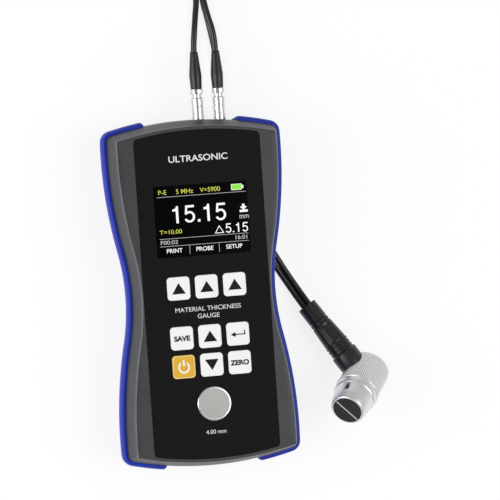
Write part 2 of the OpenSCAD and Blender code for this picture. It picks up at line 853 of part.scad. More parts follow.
module key_power() { color("gold") key_cap(-1, nav_y - key_pitch); }

module key_down() { color("white") key_cap(0, nav_y - key_pitch); }

module key_zero() { color("white") key_cap(1, nav_y - key_pitch); }

module test_disc() {
    color("silver")
        translate([0, disc_y, 0]) {
            rod(disc_d, disc_z, disc_z + disc_t - disc_edge);
            translate([0, 0, disc_z + disc_t - disc_edge])
                cylinder(d1 = disc_d, d2 = disc_d - 2 * disc_edge, h = disc_edge);
        }
}

module case_screws() {
    color("silver")
        at_corners(boss_x, boss_y) {
            rod(screw_head_d, foot_h + screw_sink - screw_head_h, foot_h + screw_sink);
            rod(screw_d - fit_gap, foot_h + screw_sink - eps, foot_h + screw_sink + screw_l);
        }
}

// Door with a thin plate let into the back and a pad that fills the bay's mouth
module battery_door() {
    color(back_grey)
        difference() {
            union() {
                translate([0, door_y, 0])
                    prism(foot_h, foot_h + door_t) square([door_w, door_l], center = true);
                translate([0, bay_y, 0])
                    prism(foot_h + door_t - eps, floor_z)
                        square([bay_w - 4 * fit_gap, bay_l - 4 * fit_gap], center = true);
            }
            for (x = [-1, 1])
                translate([x * door_screw_x, door_screw_y, foot_h - eps])
                    cylinder(
                        d1 = 2 * (door_screw_d + fit_gap),
                        d2 = door_screw_d + 2 * fit_gap,
                        h = door_t + 2 * eps
                    );
        }
}

module door_screws() {
    color("silver")
        for (x = [-1, 1])
            translate([x * door_screw_x, door_screw_y, 0]) {
                translate([0, 0, foot_h])
                    cylinder(d1 = 2 * door_screw_d, d2 = door_screw_d, h = door_t);
                rod(door_screw_d, foot_h + door_t - eps, part_z - 2);
            }
}

// Cells side by side, turned end for end in turn
module battery_cells() {
    color("peru")
        for (i = [0 : cells - 1])
            translate([(i - (cells - 1) / 2) * cell_pitch, bay_y, cell_z])
                rotate([i % 2 == 0 ? -90 : 90, 0, 0]) {
                    rod(cell_d, -cell_l / 2, cell_l / 2 - button_l);
                    rod(button_d, -cell_l / 2, cell_l / 2);
                }
}

// A plate on each end wall of the bay for each cell, with a boss that meets the cell
module battery_contacts() {
    color("lightgray")
        for (i = [0 : cells - 1], end = [-1, 1])
            translate([(i - (cells - 1) / 2) * cell_pitch, bay_y + end * bay_l / 2, cell_z])
                rotate([end * 90, 0, 0]) {
                    prism(fit_gap, fit_gap + contact_t) square([0.7 * cell_d, 0.7 * cell_d], center = true);
                    rod(button_d, fit_gap, contact_l - fit_gap);
                }
}

module socket(i) {
    at_plug(i, 0)
        difference() {
            union() {
                rod(socket_d, socket_y - socket_l, socket_y);
                rod(socket_flange_d, socket_y - socket_flange_t, socket_y);
            }
            rod(core_d + 2 * fit_gap, socket_y - plug_in - 1, socket_y + 1);
        }
}

module socket_left() { color("silver") socket(0); }

module socket_right() { color("silver") socket(1); }

module socket_nuts() {
    color("silver")
        for (i = [0, 1])
            at_plug(i, 0)
                difference() {
                    rod(socket_nut_d, nut_y - socket_nut_t, nut_y);
                    rod(socket_d + 2 * fit_gap, nut_y - socket_nut_t - 1, nut_y + 1);
                }
}

module plug_core(i) {
    at_plug(i, 0)
        rod(core_d, socket_y - plug_in, relief_y + core_tail);
}

module plug_core_left() { color("silver") plug_core(0); }

module plug_core_right() { color("silver") plug_core(1); }

// Release sleeve with a grip band at each end and a smooth middle
module plug_sleeve(i) {
    at_plug(i, sleeve_y)
        difference() {
            union() {
                rod(sleeve_d, 0, sleeve_band);
                rod(sleeve_d, sleeve_l - sleeve_band, sleeve_l);
                rod(sleeve_d - 2 * sleeve_step, 0, sleeve_l);
            }
            rod(core_d + 3 * fit_gap, -1, sleeve_l + 1);
        }
}

module plug_sleeve_left() { color("gainsboro") plug_sleeve(0); }

module plug_sleeve_right() { color("gainsboro") plug_sleeve(1); }

// Collet nut with two flats for a spanner
module plug_collet(i) {
    at_plug(i, collet_y)
        difference() {
            intersection() {
                rod(collet_d, 0, collet_l);
                prism(-1, collet_l + 1) square([2 * collet_d, collet_flat], center = true);
            }
            rod(core_d + fit_gap, -1, collet_l + 1);
        }
}

module plug_collet_left() { color("gainsboro") plug_collet(0); }

module plug_collet_right() { color("gainsboro") plug_collet(1); }

module plug_relief(i) {
    at_plug(i, relief_y)
        difference() {
            union() {
                rod(relief_d, 0, relief_straight);
                translate([0, 0, relief_straight])
                    cylinder(d1 = relief_d, d2 = relief_tip_d, h = relief_l - relief_straight);
            }
            rod(core_d + fit_gap, -1, core_tail + fit_gap);
        }
}

module plug_relief_left() { color(rubber_black) plug_relief(0); }

module plug_relief_right() { color(rubber_black) plug_relief(1); }

// Knurled housing with a round back edge and a polished rim, bored for the nose ring
module probe_housing() {
    r = probe_d / 2;
    color("gainsboro")
        difference() {
            at_probe()
                rotate_extrude()
                    polygon([
                        [0, 0],
                        for (a = [-90:30:0]) [r - probe_edge * (1 - cos(a)), probe_edge * (1 + sin(a))],
                        [r, probe_l - rim_l - rim_h], [r + rim_h, probe_l - rim_l], [r + rim_h, probe_l],
                        [probe_bore_d / 2, probe_l], [probe_bore_d / 2, probe_back_t], [0, probe_back_t]
                    ]);
            at_entry() rod(collar_spigot_d + 2 * fit_gap, 0, probe_d);
        }
}

// Turned nose ring: spigot in the housing, tapered shoulder, step and rim round the contact face
module probe_nose_ring() {
    color("silver")
        at_probe()
            translate([0, 0, probe_l])
                difference() {
                    rotate_extrude()
                        polygon([
                            [spigot_d / 2, -spigot_l], [spigot_d / 2, fit_gap], [nose_d / 2, fit_gap],
                            [nose_d / 2, nose_step_l / 4], [nose_step_d / 2, nose_step_l],
                            [nose_rim_d / 2, nose_step_l], [nose_rim_d / 2, nose_l],
                            [face_d / 2 + fit_gap, nose_l], [face_d / 2 + fit_gap, -spigot_l]
                        ]);
                    rotate(entry_turn + notch_turn)
                        translate([nose_d / 2 - notch_d, -notch_w / 2, notch_gap])
                            cube([nose_d, notch_w, notch_l]);
                }
}

// One of the two half-round delay blocks
module delay_block(side) {
    gap = (barrier_t + fit_gap) / 2;
    at_probe()
        rotate(entry_turn)
            intersection() {
                rod(face_d, delay_back, delay_back + delay_l);
                translate([-face_d, side > 0 ? gap : -2 * face_d - gap, 0])
                    cube([2 * face_d, 2 * face_d, 4 * delay_l]);
            }
}

module probe_delay_transmit() { color(rubber_black) delay_block(1); }

module probe_delay_receive() { color(rubber_black) delay_block(-1); }

module probe_barrier() {
    color("tan")
        at_probe()
            rotate(entry_turn)
                prism(delay_back, delay_back + delay_l)
                    square([face_d - 4 * fit_gap, barrier_t], center = true);
}

module probe_crystals() {
    color("wheat")
        at_probe()
            rotate(entry_turn)
                for (side = [0, 1])
                    mirror([0, side, 0])
                        prism(delay_back - crystal_t - fit_gap, delay_back - fit_gap)
                            translate([0, (barrier_t + face_d) / 4])
                                square([face_d / 2, face_d / 3], center = true);
}

// Collar cut to sit on the round housing, with a spigot in the housing's side
module probe_collar() {
    color(rubber_black) {
        difference() {
            at_entry() rod(collar_d, 0, collar_end);
            at_probe() rod(probe_d + 2 * fit_gap, -probe_d, 2 * probe_d);
        }
        difference() {
            at_entry() rod(collar_spigot_d, 0, collar_end - 1);
            at_probe() rod(probe_bore_d + 4 * fit_gap, -probe_d, 2 * probe_d);
        }
    }
}

// Moulded bend relief: a tapered grip with grooves by the collar and a narrow end for the cables
module probe_relief() {
    neck_r = (boot_d + boot_tip_d) / 4;
    taper_l = boot_l - boot_tip_l;
    color(rubber_black)
        at_entry()
            translate([0, 0, collar_end])
                difference() {
                    rotate_extrude()
                        polygon([
                            [0, 0], [boot_d / 2, 0], [boot_d / 2, boot_rings * boot_ring_pitch],
                            [neck_r, taper_l], [boot_tip_d / 2, taper_l], [boot_tip_d / 2, boot_l],
                            [0, boot_l]
                        ]);
                    for (i = [1 : boot_rings])
                        translate([0, 0, i * boot_ring_pitch - boot_groove_w])
                            difference() {
                                cylinder(d = boot_d + 2, h = boot_groove_w);
                                translate([0, 0, -1])
                                    cylinder(d = boot_d - 2 * boot_groove_d, h = boot_groove_w + 2);
                            }
                }
}

// A round cable through a list of points
function along(p, i) =
    let (v = p[min(i + 1, len(p) - 1)] - p[max(i - 1, 0)])
    v / norm(v);

function hoop(p, i, d, sides) =
    let (t = along(p, i), s = cross(t, [0, 0, 1]) / norm(cross(t, [0, 0, 1])), u = cross(s, t))
    [for (k = [0 : sides - 1]) p[i] + d / 2 * (cos(360 * k / sides) * s + sin(360 * k / sides) * u)];

module cable(p) {
    sides = 8;
    last = len(p) - 1;
    polyhedron(
        points = [for (i = [0 : last]) each hoop(p, i, cable_d, sides)],
        faces = concat(
            [[for (k = [0 : sides - 1]) k]],
            [for (i = [0 : last - 1], k = [0 : sides - 1])
                let (a = i * sides, b = a + sides, next = (k + 1) % sides)
                [a + k, b + k, b + next, a + next]],
            [[for (k = [sides - 1 : -1 : 0]) last * sides + k]]
        )
    );
}

module tail_left() { color(rubber_black) cable(tail_left_p); }

module tail_right() { color(rubber_black) cable(tail_right_p); }

module return_left() { color(rubber_black) cable(return_left_p); }

module return_right() { color(rubber_black) cable(return_right_p); }

// Outer shape of the coiled cables
module cable_coil() {
    color(rubber_black)
        translate([coil_c[0], coil_c[1], tie_t + fit_gap])
            rotate_extrude()
                translate([coil_r1, 0])
                    square([coil_r2 - coil_r1, coil_h]);
}

// Strap round the coil on its far side
module coil_tie() {
    inner_w = coil_r2 - coil_r1 + 2 * fit_gap;
    inner_h = coil_h + 2 * fit_gap;
    color([0.15, 0.15, 0.16])
        translate([coil_c[0], coil_c[1] + (coil_r1 + coil_r2) / 2, inner_h / 2 + tie_t])
            difference() {
                cube([tie_w, inner_w + 2 * tie_slack + 2 * tie_t, inner_h + 2 * tie_t], center = true);
                cube([tie_w + 1, inner_w + 2 * tie_slack, inner_h], center = true);
            }
}

front_shell();
rear_shell();
bumper_left();
bumper_right();
front_overlay();
display_window();
display_module();
main_board();
board_screws();
snap_domes();
key_soft_left();
key_soft_middle();
key_soft_right();
key_save();
key_up();
key_enter();
key_power();
key_down();
key_zero();
test_disc();
case_screws();
battery_door();
door_screws();
battery_cells();
battery_contacts();
socket_left();
socket_right();
socket_nuts();
plug_core_left();
plug_core_right();
plug_sleeve_left();
plug_sleeve_right();
plug_collet_left();
plug_collet_right();
plug_relief_left();
plug_relief_right();
probe_housing();
probe_nose_ring();
probe_delay_transmit();
probe_delay_receive();
probe_barrier();
probe_crystals();
probe_collar();
probe_relief();
tail_left();
tail_right();
cable_coil();
coil_tie();
return_left();
return_right();
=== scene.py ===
"""Ultrasonic thickness gauge on its back, with its angled probe and coaxial cables.

Lengths are written in millimetres in the row frame and become metres when a mesh is made.
The floor and the lamps are placed in metres.
"""
import math

import bmesh
import bpy
import numpy as np
from mathutils import Matrix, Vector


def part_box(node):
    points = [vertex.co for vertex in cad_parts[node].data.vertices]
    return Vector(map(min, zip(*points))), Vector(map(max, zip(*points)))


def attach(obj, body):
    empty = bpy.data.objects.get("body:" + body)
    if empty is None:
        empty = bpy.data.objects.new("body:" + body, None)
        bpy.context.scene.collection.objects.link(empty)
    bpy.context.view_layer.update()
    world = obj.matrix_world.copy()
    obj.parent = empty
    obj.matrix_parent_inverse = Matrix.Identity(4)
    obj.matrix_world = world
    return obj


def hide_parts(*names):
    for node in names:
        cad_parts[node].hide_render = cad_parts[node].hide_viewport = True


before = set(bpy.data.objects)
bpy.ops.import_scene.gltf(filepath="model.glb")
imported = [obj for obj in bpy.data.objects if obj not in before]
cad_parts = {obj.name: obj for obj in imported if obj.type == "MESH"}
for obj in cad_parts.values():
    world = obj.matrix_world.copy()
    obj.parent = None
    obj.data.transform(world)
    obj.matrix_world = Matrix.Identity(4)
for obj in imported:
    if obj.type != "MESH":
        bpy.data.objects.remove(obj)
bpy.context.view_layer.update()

MM = 0.001
GAUGE = "gauge"
X, Y, Z = np.eye(3)
QUARTER = np.pi / 2

# The case and its overlay, as in the part's source
BODY_L, BODY_W, BODY_H = 165.0, 85.0, 32.0
WAIST_L, WAIST_W, WAIST_R = 132.0, 70.8, 99.0
END_R, CORNER_R = 155.0, 5.5
PANEL_L, PANEL_W, PANEL_END_R, PANEL_R = 152.0, 59.4, 148.0, 2.0

# Keys, display and test disc, and the heights of the print on them
KEY, KEY_R, KEY_PITCH = 10.7, 1.7, 13.2
SOFT_Y, NAV_Y, DISPLAY_Y, DISC_Y = 3.6, -19.4, 34.5, -50.7
OVERLAY_PRINT_Z, SCREEN_PRINT_Z, KEY_BORDER_Z, LEGEND_Z = 32.02, 32.03, 32.355, 32.38

# Plugs, probe and cables
PLUG_XS, PLUG_Z = (4.5, 14.7), 17.0
PROBE_BACK, PROBE_TURN, PROBE_RISE, PROBE_R = (81.0, -42.5), 224.0, 42.0, 10.0
RIM_H, FACE_H, FACE_R, ENTRY_L = 19.5, 33.2, 6.9, 8.6
BOOT_TIP = np.array([53.0, -11.1, 4.4])
COIL_C, COIL_IN_R, CABLE_D = (36.8, 178.0), 16.0, 2.8

# Camera: angles in degrees, pixels to the millimetre at the aim, and the pixel where the aim is seen
CAMERA_SIDE, CAMERA_LEAN, CAMERA_ROLL = 11.5, 4.6, -3.9
AIM, AIM_PIXEL, PIXELS_PER_MM = np.array([0.0, -19.4, 32.0]), (210, 336), 2.168
CAMERA_AWAY, FRAME_PIXELS, SENSOR_W = 1500.0, 500.0, 36.0


# Finishes
class Field:
    """A value that changes over a surface: one socket, with arithmetic that adds Math nodes."""

    def __init__(self, graph, socket):
        self.graph = graph
        self.socket = socket

    def _math(self, operation, a, b):
        return self.graph.node("Math", {"operation": operation}, [a, b])

    def __add__(self, other):
        return self._math("ADD", self, other)

    def __sub__(self, other):
        return self._math("SUBTRACT", self, other)

    def __rsub__(self, other):
        return self._math("SUBTRACT", other, self)

    def __mul__(self, other):
        return self._math("MULTIPLY", self, other)

    def __pow__(self, other):
        return self._math("POWER", self, other)

    __radd__ = __add__
    __rmul__ = __mul__

    def above(self, other):
        """1 where this value is the greater, and 0 elsewhere."""
        return self._math("GREATER_THAN", self, other)

    def beside(self, output):
        """Another output of the same node."""
        return Field(self.graph, self.socket.node.outputs[output])


class Graph:
    """A node tree, written as expressions on Field values."""

    def __init__(self, tree):
        self.tree = tree

    def node(self, kind, settings=None, inputs=(), out=0):
        """Any node: its type, its settings, which are set first, and the values or links of its sockets."""
        n = self.tree.nodes.new("ShaderNode" + kind)
        for key, value in (settings or {}).items():
            setattr(n, key, value)
        pairs = inputs.items() if isinstance(inputs, dict) else enumerate(inputs)
        for key, value in pairs:
            if isinstance(value, Field):
                self.tree.links.new(value.socket, n.inputs[key])
            else:
                n.inputs[key].default_value = value
        return Field(self, n.outputs[out])


class Finish(Graph):
    """A procedural material. Constants are set on the shader's own sockets."""

    def __init__(self, name, **constants):
        self.mat = bpy.data.materials.new(name)
        self.mat.use_nodes = True
        super().__init__(self.mat.node_tree)
        self.shader = self.tree.nodes["Principled BSDF"]
        for key, value in constants.items():
            self.shader.inputs[key.replace("_", " ")].default_value = value

    def place(self):
        """Object coordinates, in metres."""
        return self.node("TexCoord", out="Object")

    def stretched(self, scale):
        """Object coordinates times a scale for each axis, for a grain drawn out along one of them."""
        return self.node("Mapping", {"vector_type": "POINT"}, {"Vector": self.place(), "Scale": scale})

    def noise(self, scale, detail=3.0, rough=0.5, at=None):
        inputs = {"Vector": at or self.place(), "Scale": scale, "Detail": detail, "Roughness": rough}
        return self.node("TexNoise", {}, inputs)

    def blend(self, factor, a, b):
        """Colour a where the factor is 0, and b where it is 1."""
        return self.node("Mix", {"data_type": "RGBA"}, {0: factor, 6: a, 7: b}, out=2)

    def bump(self, height, strength, distance):
        return self.node("Bump", {}, {"Strength": strength, "Distance": distance, "Height": height})

    def feed(self, **fields):
        """Link fields to the shader's sockets of these names."""
        for key, field in fields.items():
            self.tree.links.new(field.socket, self.shader.inputs[key.replace("_", " ")])
        return self


def rgb(r, g, b):
    """A colour as it reads on screen, from 0 to 255, turned into linear light."""
    c = np.array([r, g, b]) / 255.0
    lin = np.where(c <= 0.04045, c / 12.92, ((c + 0.055) / 1.055) ** 2.4)
    return (float(lin[0]), float(lin[1]), float(lin[2]), 1.0)


# Noise cells to the metre, and the lighter grey of the painted ridge highlight
PLASTIC_CLOUD, METAL_CLOUD, DISC_CLOUD = 60.0, 90.0, 140.0
INK_SPECK, SCREEN_SPECK, DISC_RINGS = 3500.0, 5200.0, 2600.0
HIGHLIGHT_GREY = rgb(128, 128, 130)


def moulded(name, low, high, rough, grain=2600.0, grain_h=0.00003, highlight_band=None, **constants):
    """Spark-textured moulded plastic or rubber: cloudy tone, fine grain and uneven gloss.

    Between the two heights given for the band, along a ridge, a painted highlight blends the colour towards
    a lighter grey, and the roughness is lowered.
    """
    f = Finish(name, **constants)
    cloud = f.noise(PLASTIC_CLOUD, 3.0)
    fine = f.noise(grain, 2.0)
    tone = (cloud * 0.55 + fine * 0.45 - 0.25) * 2.0
    gloss = rough - 0.06 + cloud * 0.12
    colour = f.blend(tone, low, high)
    if highlight_band:
        z = f.node("SeparateXYZ", {}, [f.place()], out="Z")
        span = {"Value": z, "From Min": highlight_band[0] * MM, "From Max": highlight_band[1] * MM}
        ridge_highlight = f.node("MapRange", {"interpolation_type": "SMOOTHSTEP"}, span)
        ridge_highlight = ridge_highlight * (1 - z.above(highlight_band[1] * MM)) * (0.6 + cloud * 0.6)
        # painted highlight: the colour is lightened along the ridge band
        colour = f.blend(ridge_highlight * 0.55, colour, HIGHLIGHT_GREY)
        gloss = gloss - ridge_highlight * 0.14
    return f.feed(Base_Color=colour, Roughness=gloss, Normal=f.bump(fine, 0.5, grain_h))


def turned(name, low, high, rough, stretch, grain_h=0.000012):
    """Turned or brushed metal: grain drawn out along one direction, with slightly uneven polish."""
    f = Finish(name, Metallic=1.0)
    grain = f.noise(1.0, 3.0, 0.6, f.stretched(stretch))
    cloud = f.noise(METAL_CLOUD, 2.0)
    return f.feed(Base_Color=f.blend(grain * 0.6 + cloud * 0.4, low, high),
                  Roughness=rough + grain * 0.14 + cloud * 0.06, Normal=f.bump(grain, 0.35, grain_h))


def printed(name, low, high, rough=0.55, **constants):
    """Screen-printed ink: nearly even, with a faint speckle."""
    f = Finish(name, **constants)
    speck = f.noise(INK_SPECK, 2.0)
    return f.feed(Base_Color=f.blend(speck, low, high), Roughness=rough - 0.08 + speck * 0.16)


def lit(name, low, high, strength):
    """Lit parts of the display: a fine speckle over an even colour, which also glows."""
    f = Finish(name, Roughness=0.4, Emission_Strength=strength)
    colour = f.blend(f.noise(SCREEN_SPECK, 1.0), low, high)
    return f.feed(Base_Color=colour, Emission_Color=colour)


def faced(name, low, high, middle_y, rim_r):
    """Faced steel disc: rings of grain by the distance from its middle, and a painted highlight on the rim
    past rim_r, with a lighter colour and lower roughness.
    """
    f = Finish(name, Metallic=1.0)
    x = f.node("SeparateXYZ", {}, [f.place()])
    y = x.beside("Y") - middle_y * MM
    radius = (x * x + y * y) ** 0.5
    rings = f.noise(DISC_RINGS, 3.0, 0.6, f.node("CombineXYZ", {}, [radius, 0.0, 0.0]))
    cloud = f.noise(DISC_CLOUD, 2.0)
    # painted highlight: past rim_r the rim's colour is blended much lighter
    rim = radius.above(rim_r * MM)
    tone = rings * 0.2 + cloud * 0.1 + rim * 0.7
    return f.feed(Base_Color=f.blend(tone, low, high), Roughness=0.4 + rings * 0.1 - rim * 0.26,
                  Normal=f.bump(rings, 0.3, 0.00001))


FINISH = {
    # the case's ridge, between these heights, gets a painted highlight
    "case": moulded("case_grain", rgb(43, 45, 48), rgb(61, 62, 65), 0.42, highlight_band=(30.6, 31.9),
                    Specular_IOR_Level=0.45),
    "back": moulded("back_grain", rgb(44, 45, 47), rgb(60, 61, 63), 0.55),
    "bumper": moulded("bumper_rubber", rgb(16, 40, 156), rgb(28, 54, 184), 0.46, 3200.0, 0.00002,
                      Specular_IOR_Level=0.3),
    "film": moulded("overlay_film", rgb(11, 11, 11), rgb(17, 17, 17), 0.6, 4200.0, 0.000012,
                    Specular_IOR_Level=0.12),
    "glass": moulded("window_lens", rgb(1, 1, 2), rgb(3, 3, 4), 0.22, 4000.0, 0.000004,
                     Specular_IOR_Level=0.04),
    "key": moulded("key_white", rgb(244, 244, 243), rgb(252, 252, 251), 0.5, 3600.0, 0.00001),
    "power": moulded("key_amber", rgb(222, 170, 34), rgb(234, 184, 46), 0.5, 3600.0, 0.00001),
    "power_edge": printed("key_amber_border", rgb(244, 214, 150), rgb(250, 226, 172)),
    "power_mark": printed("key_amber_mark", rgb(252, 246, 230), rgb(255, 250, 238)),
    "ink": printed("legend_black", rgb(16, 16, 16), rgb(26, 26, 26), Specular_IOR_Level=0.15),
    "legend": printed("legend_white", rgb(225, 225, 225), rgb(245, 245, 245)),
    "disc": faced("disc_steel", (0.36, 0.355, 0.335, 1), (0.92, 0.915, 0.9, 1), DISC_Y, 7.0),
    "steel": turned("plain_steel", (0.46, 0.455, 0.43, 1), (0.58, 0.575, 0.55, 1), 0.34,
                    (2600.0, 160.0, 160.0)),
    "nickel": turned("plug_nickel", (0.6, 0.6, 0.59, 1), (0.76, 0.76, 0.75, 1), 0.2,
                     (900.0, 3000.0, 900.0)),
    "probe": turned("probe_nickel", (0.72, 0.72, 0.71, 1), (0.92, 0.92, 0.91, 1), 0.3,
                    (700.0, 700.0, 2400.0)),
    "rubber": moulded("cable_rubber", rgb(18, 18, 18), rgb(30, 30, 30), 0.28, 2200.0, 0.00003),
    "boot": moulded("relief_rubber", rgb(16, 16, 17), rgb(30, 30, 31), 0.36, 1800.0, 0.00004),
    "delay": moulded("delay_resin", rgb(22, 22, 23), rgb(44, 44, 46), 0.55, 3000.0, 0.00003,
                     Specular_IOR_Level=0.3),
    "cork": moulded("barrier_cork", rgb(196, 190, 180), rgb(222, 216, 206), 0.6, 2400.0, 0.00004),
    "board": moulded("board_mask", rgb(24, 92, 48), rgb(36, 112, 60), 0.4, 1500.0, 0.00002),
    "cell": moulded("cell_sleeve", rgb(150, 92, 40), rgb(190, 124, 60), 0.3, 900.0, 0.00002),
    "screen_white": lit("screen_white", (0.7, 0.7, 0.7, 1), (0.8, 0.8, 0.8, 1), 0.4),
    "screen_grey": lit("screen_grey", (0.4, 0.4, 0.4, 1), (0.5, 0.5, 0.5, 1), 0.3),
    "screen_yellow": lit("screen_yellow", rgb(176, 176, 60), rgb(204, 204, 78), 0.3),
    "screen_green": lit("screen_green", rgb(112, 204, 36), rgb(130, 220, 54), 0.3),
}

# The record's slot that each finish belongs to
SLOT = {
    "case": "case_grey", "bumper": "bumper_blue", "key": "key_white", "power": "key_yellow", "disc": "steel",
    "nickel": "nickel", "probe": "probe_metal", "rubber": "rubber_black", "boot": "rubber_black",
}


def dress(node, finish):
    """Give a CAD node its finish."""
    o = bpy.data.objects[node]
    o.data.materials.clear()
    o.data.materials.append(FINISH[finish].mat)


# Meshes and pieces
def finish_piece(mesh, name, finish, body, smooth=True, sharp=35.0, stands_for=()):
    """Make an object of a mesh: finish, shading, body and the solids that it stands for."""
    mesh.materials.append(FINISH[finish].mat)
    o = bpy.data.objects.new(name, mesh)
    bpy.context.scene.collection.objects.link(o)
    if smooth:
        mesh.shade_smooth()
        mesh.set_sharp_from_angle(angle=math.radians(sharp))
    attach(o, body)
    finish in SLOT
    if stands_for:
        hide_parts(*stands_for)
    return o


def grid_mesh(name, p, wrap_u=False, wrap_v=False, cap_u=False):
    """Mesh of a surface p[u, v]: quads between neighbours, wrapped where closed, or lidded at the ends.

    Points that meet, as at a pole, become one, and the faces are turned outwards.
    """
    nu, nv = p.shape[:2]
    index = np.arange(nu * nv).reshape(nu, nv)
    iu = index if not wrap_u else np.vstack([index, index[:1]])
    iu = iu if not wrap_v else np.hstack([iu, iu[:, :1]])
    quads = np.stack([iu[:-1, :-1], iu[1:, :-1], iu[1:, 1:], iu[:-1, 1:]], -1).reshape(-1, 4)
    faces = quads.tolist()
    if cap_u:
        faces += [index[0].tolist(), index[-1][::-1].tolist()]
    mesh = bpy.data.meshes.new(name)
    mesh.from_pydata((p.reshape(-1, 3) * MM).tolist(), [], faces)
    mesh.validate()
    b = bmesh.new()
    b.from_mesh(mesh)
    bmesh.ops.remove_doubles(b, verts=b.verts, dist=1e-7)
    bmesh.ops.recalc_face_normals(b, faces=b.faces)
    b.to_mesh(mesh)
    b.free()
    return mesh


def lathe(name, profile, axes, sides=96, ripple=None, seat=None):
    """Profile of (height, radius) turned about an axis.

    A point is origin + height * axis + radius * (cos a * x + sin a * y). ripple(angle, height) is taken off
    the radius, for knurls, flats and notches. seat(ray, radius) is the least height of a point on that ray,
    for an end that sits on a round surface.
    """
    origin, x, y, axis = axes
    h, r = np.array(profile, float).T
    a = np.linspace(0, 2 * np.pi, sides, endpoint=False)
    ray = np.cos(a)[:, None] * x + np.sin(a)[:, None] * y
    height = np.repeat(h[:, None], sides, 1)
    radius = np.repeat(r[:, None], sides, 1)
    if ripple is not None:
        radius = radius - ripple(a[None, :], h[:, None])
    if seat is not None:
        height = np.maximum(height, seat(ray[None], radius))
    p = origin + height[..., None] * axis + radius[..., None] * ray[None]
    return grid_mesh(name, p, wrap_v=True)


def steps(*stretches):
    """Heights and radii along straight stretches (h0, r0, h1, r1, count), joined end to end."""
    out = []
    for h0, r0, h1, r1, n in stretches:
        t = np.linspace(0, 1, n)
        out += list(zip(h0 + (h1 - h0) * t, r0 + (r1 - r0) * t))
    return out


def smooth_step(x):
    """From 0 to 1 as x does, level at both ends: three times the square less twice the cube."""
    x = np.clip(x, 0, 1)
    return x * x * (3 - 2 * x)


# The case, its bumpers and keys
def arcs_of_outline():
    """The outline's arcs, anticlockwise: middle, radius, start and end angle, and 1 where it is hollow.

    Each shoulder runs on from the waist in one tangent. Each corner's middle is where the shoulder's and the
    end's circles meet, both drawn in by the corner radius, so the corner touches both.
    """
    half_w, half_l = BODY_W / 2, BODY_L / 2
    draw = half_w - WAIST_W / 2
    total = ((WAIST_L / 2) ** 2 + draw ** 2) / (2 * draw)
    shoulder = total - WAIST_R
    turn = math.asin(WAIST_L / 2 / total)
    s = np.array([half_w - shoulder, WAIST_L / 2])
    e = np.array([0.0, half_l - END_R])
    v = e - s
    d = np.linalg.norm(v)
    rs, re = shoulder - CORNER_R, END_R - CORNER_R
    a = (rs * rs - re * re + d * d) / (2 * d)
    k = s + a * v / d + math.sqrt(rs * rs - a * a) * np.array([-v[1], v[0]]) / d
    side = math.atan2(*(k - s)[::-1])
    end = math.atan2(*(k - e)[::-1])
    w = WAIST_W / 2 + WAIST_R
    right_top = [(s, shoulder, -turn, side, 0), (k, CORNER_R, side, end, 0), (e, END_R, end, QUARTER, 0)]
    left_top = [(np.array([-c[0], c[1]]), r, math.pi - b, math.pi - a0, hollow)
                for c, r, a0, b, hollow in right_top[::-1]]
    upper = right_top + left_top
    lower = [(-c, r, a0 + math.pi, b + math.pi, hollow) for c, r, a0, b, hollow in upper]
    return ([(np.array([w, 0.0]), WAIST_R, math.pi + turn, math.pi - turn, 1)] + upper
            + [(np.array([-w, 0.0]), WAIST_R, turn, -turn, 1)] + lower)


def outline(spacing=0.6):
    """Points and inward normals round the case: middle + radius * (cos a, sin a) along each arc."""
    small_r = 10
    points, normals = [], []
    for c, r, a0, a1, hollow in arcs_of_outline():
        n = max(3, int(abs(a1 - a0) * r / (spacing if r > small_r else spacing / 2)))
        a = np.linspace(a0, a1, n, endpoint=False)
        ray = np.stack([np.cos(a), np.sin(a)], 1)
        points.append(c + r * ray)
        normals.append(ray if hollow else -ray)
    return np.vstack(points), np.vstack(normals)


def panel_edge(directions):
    """Distance from the middle of the case to the overlay's edge, by direction.

    It is read off points along a quarter of the edge: a straight side, a round corner and a bowed end. The
    other quarters are folded onto that one.
    """
    side_count, corner_count, end_count = 160, 24, 90
    end_y = PANEL_L / 2 - PANEL_END_R
    cx = PANEL_W / 2 - PANEL_R
    cy = end_y + math.sqrt((PANEL_END_R - PANEL_R) ** 2 - cx ** 2)
    top = math.atan2(cy - end_y, cx)
    side_y = np.linspace(0, cy, side_count)
    corner = np.linspace(0, top, corner_count)
    end = np.linspace(top, QUARTER, end_count)
    q = np.vstack([
        np.stack([np.full(side_count, PANEL_W / 2), side_y], 1),
        np.stack([cx + PANEL_R * np.cos(corner), cy + PANEL_R * np.sin(corner)], 1),
        np.stack([PANEL_END_R * np.cos(end), end_y + PANEL_END_R * np.sin(end)], 1),
    ])
    angle, reach = np.arctan2(q[:, 1], q[:, 0]), np.hypot(q[:, 0], q[:, 1])
    folded = np.arctan2(np.abs(np.sin(directions)), np.abs(np.cos(directions)))
    return np.interp(folded, angle, reach)


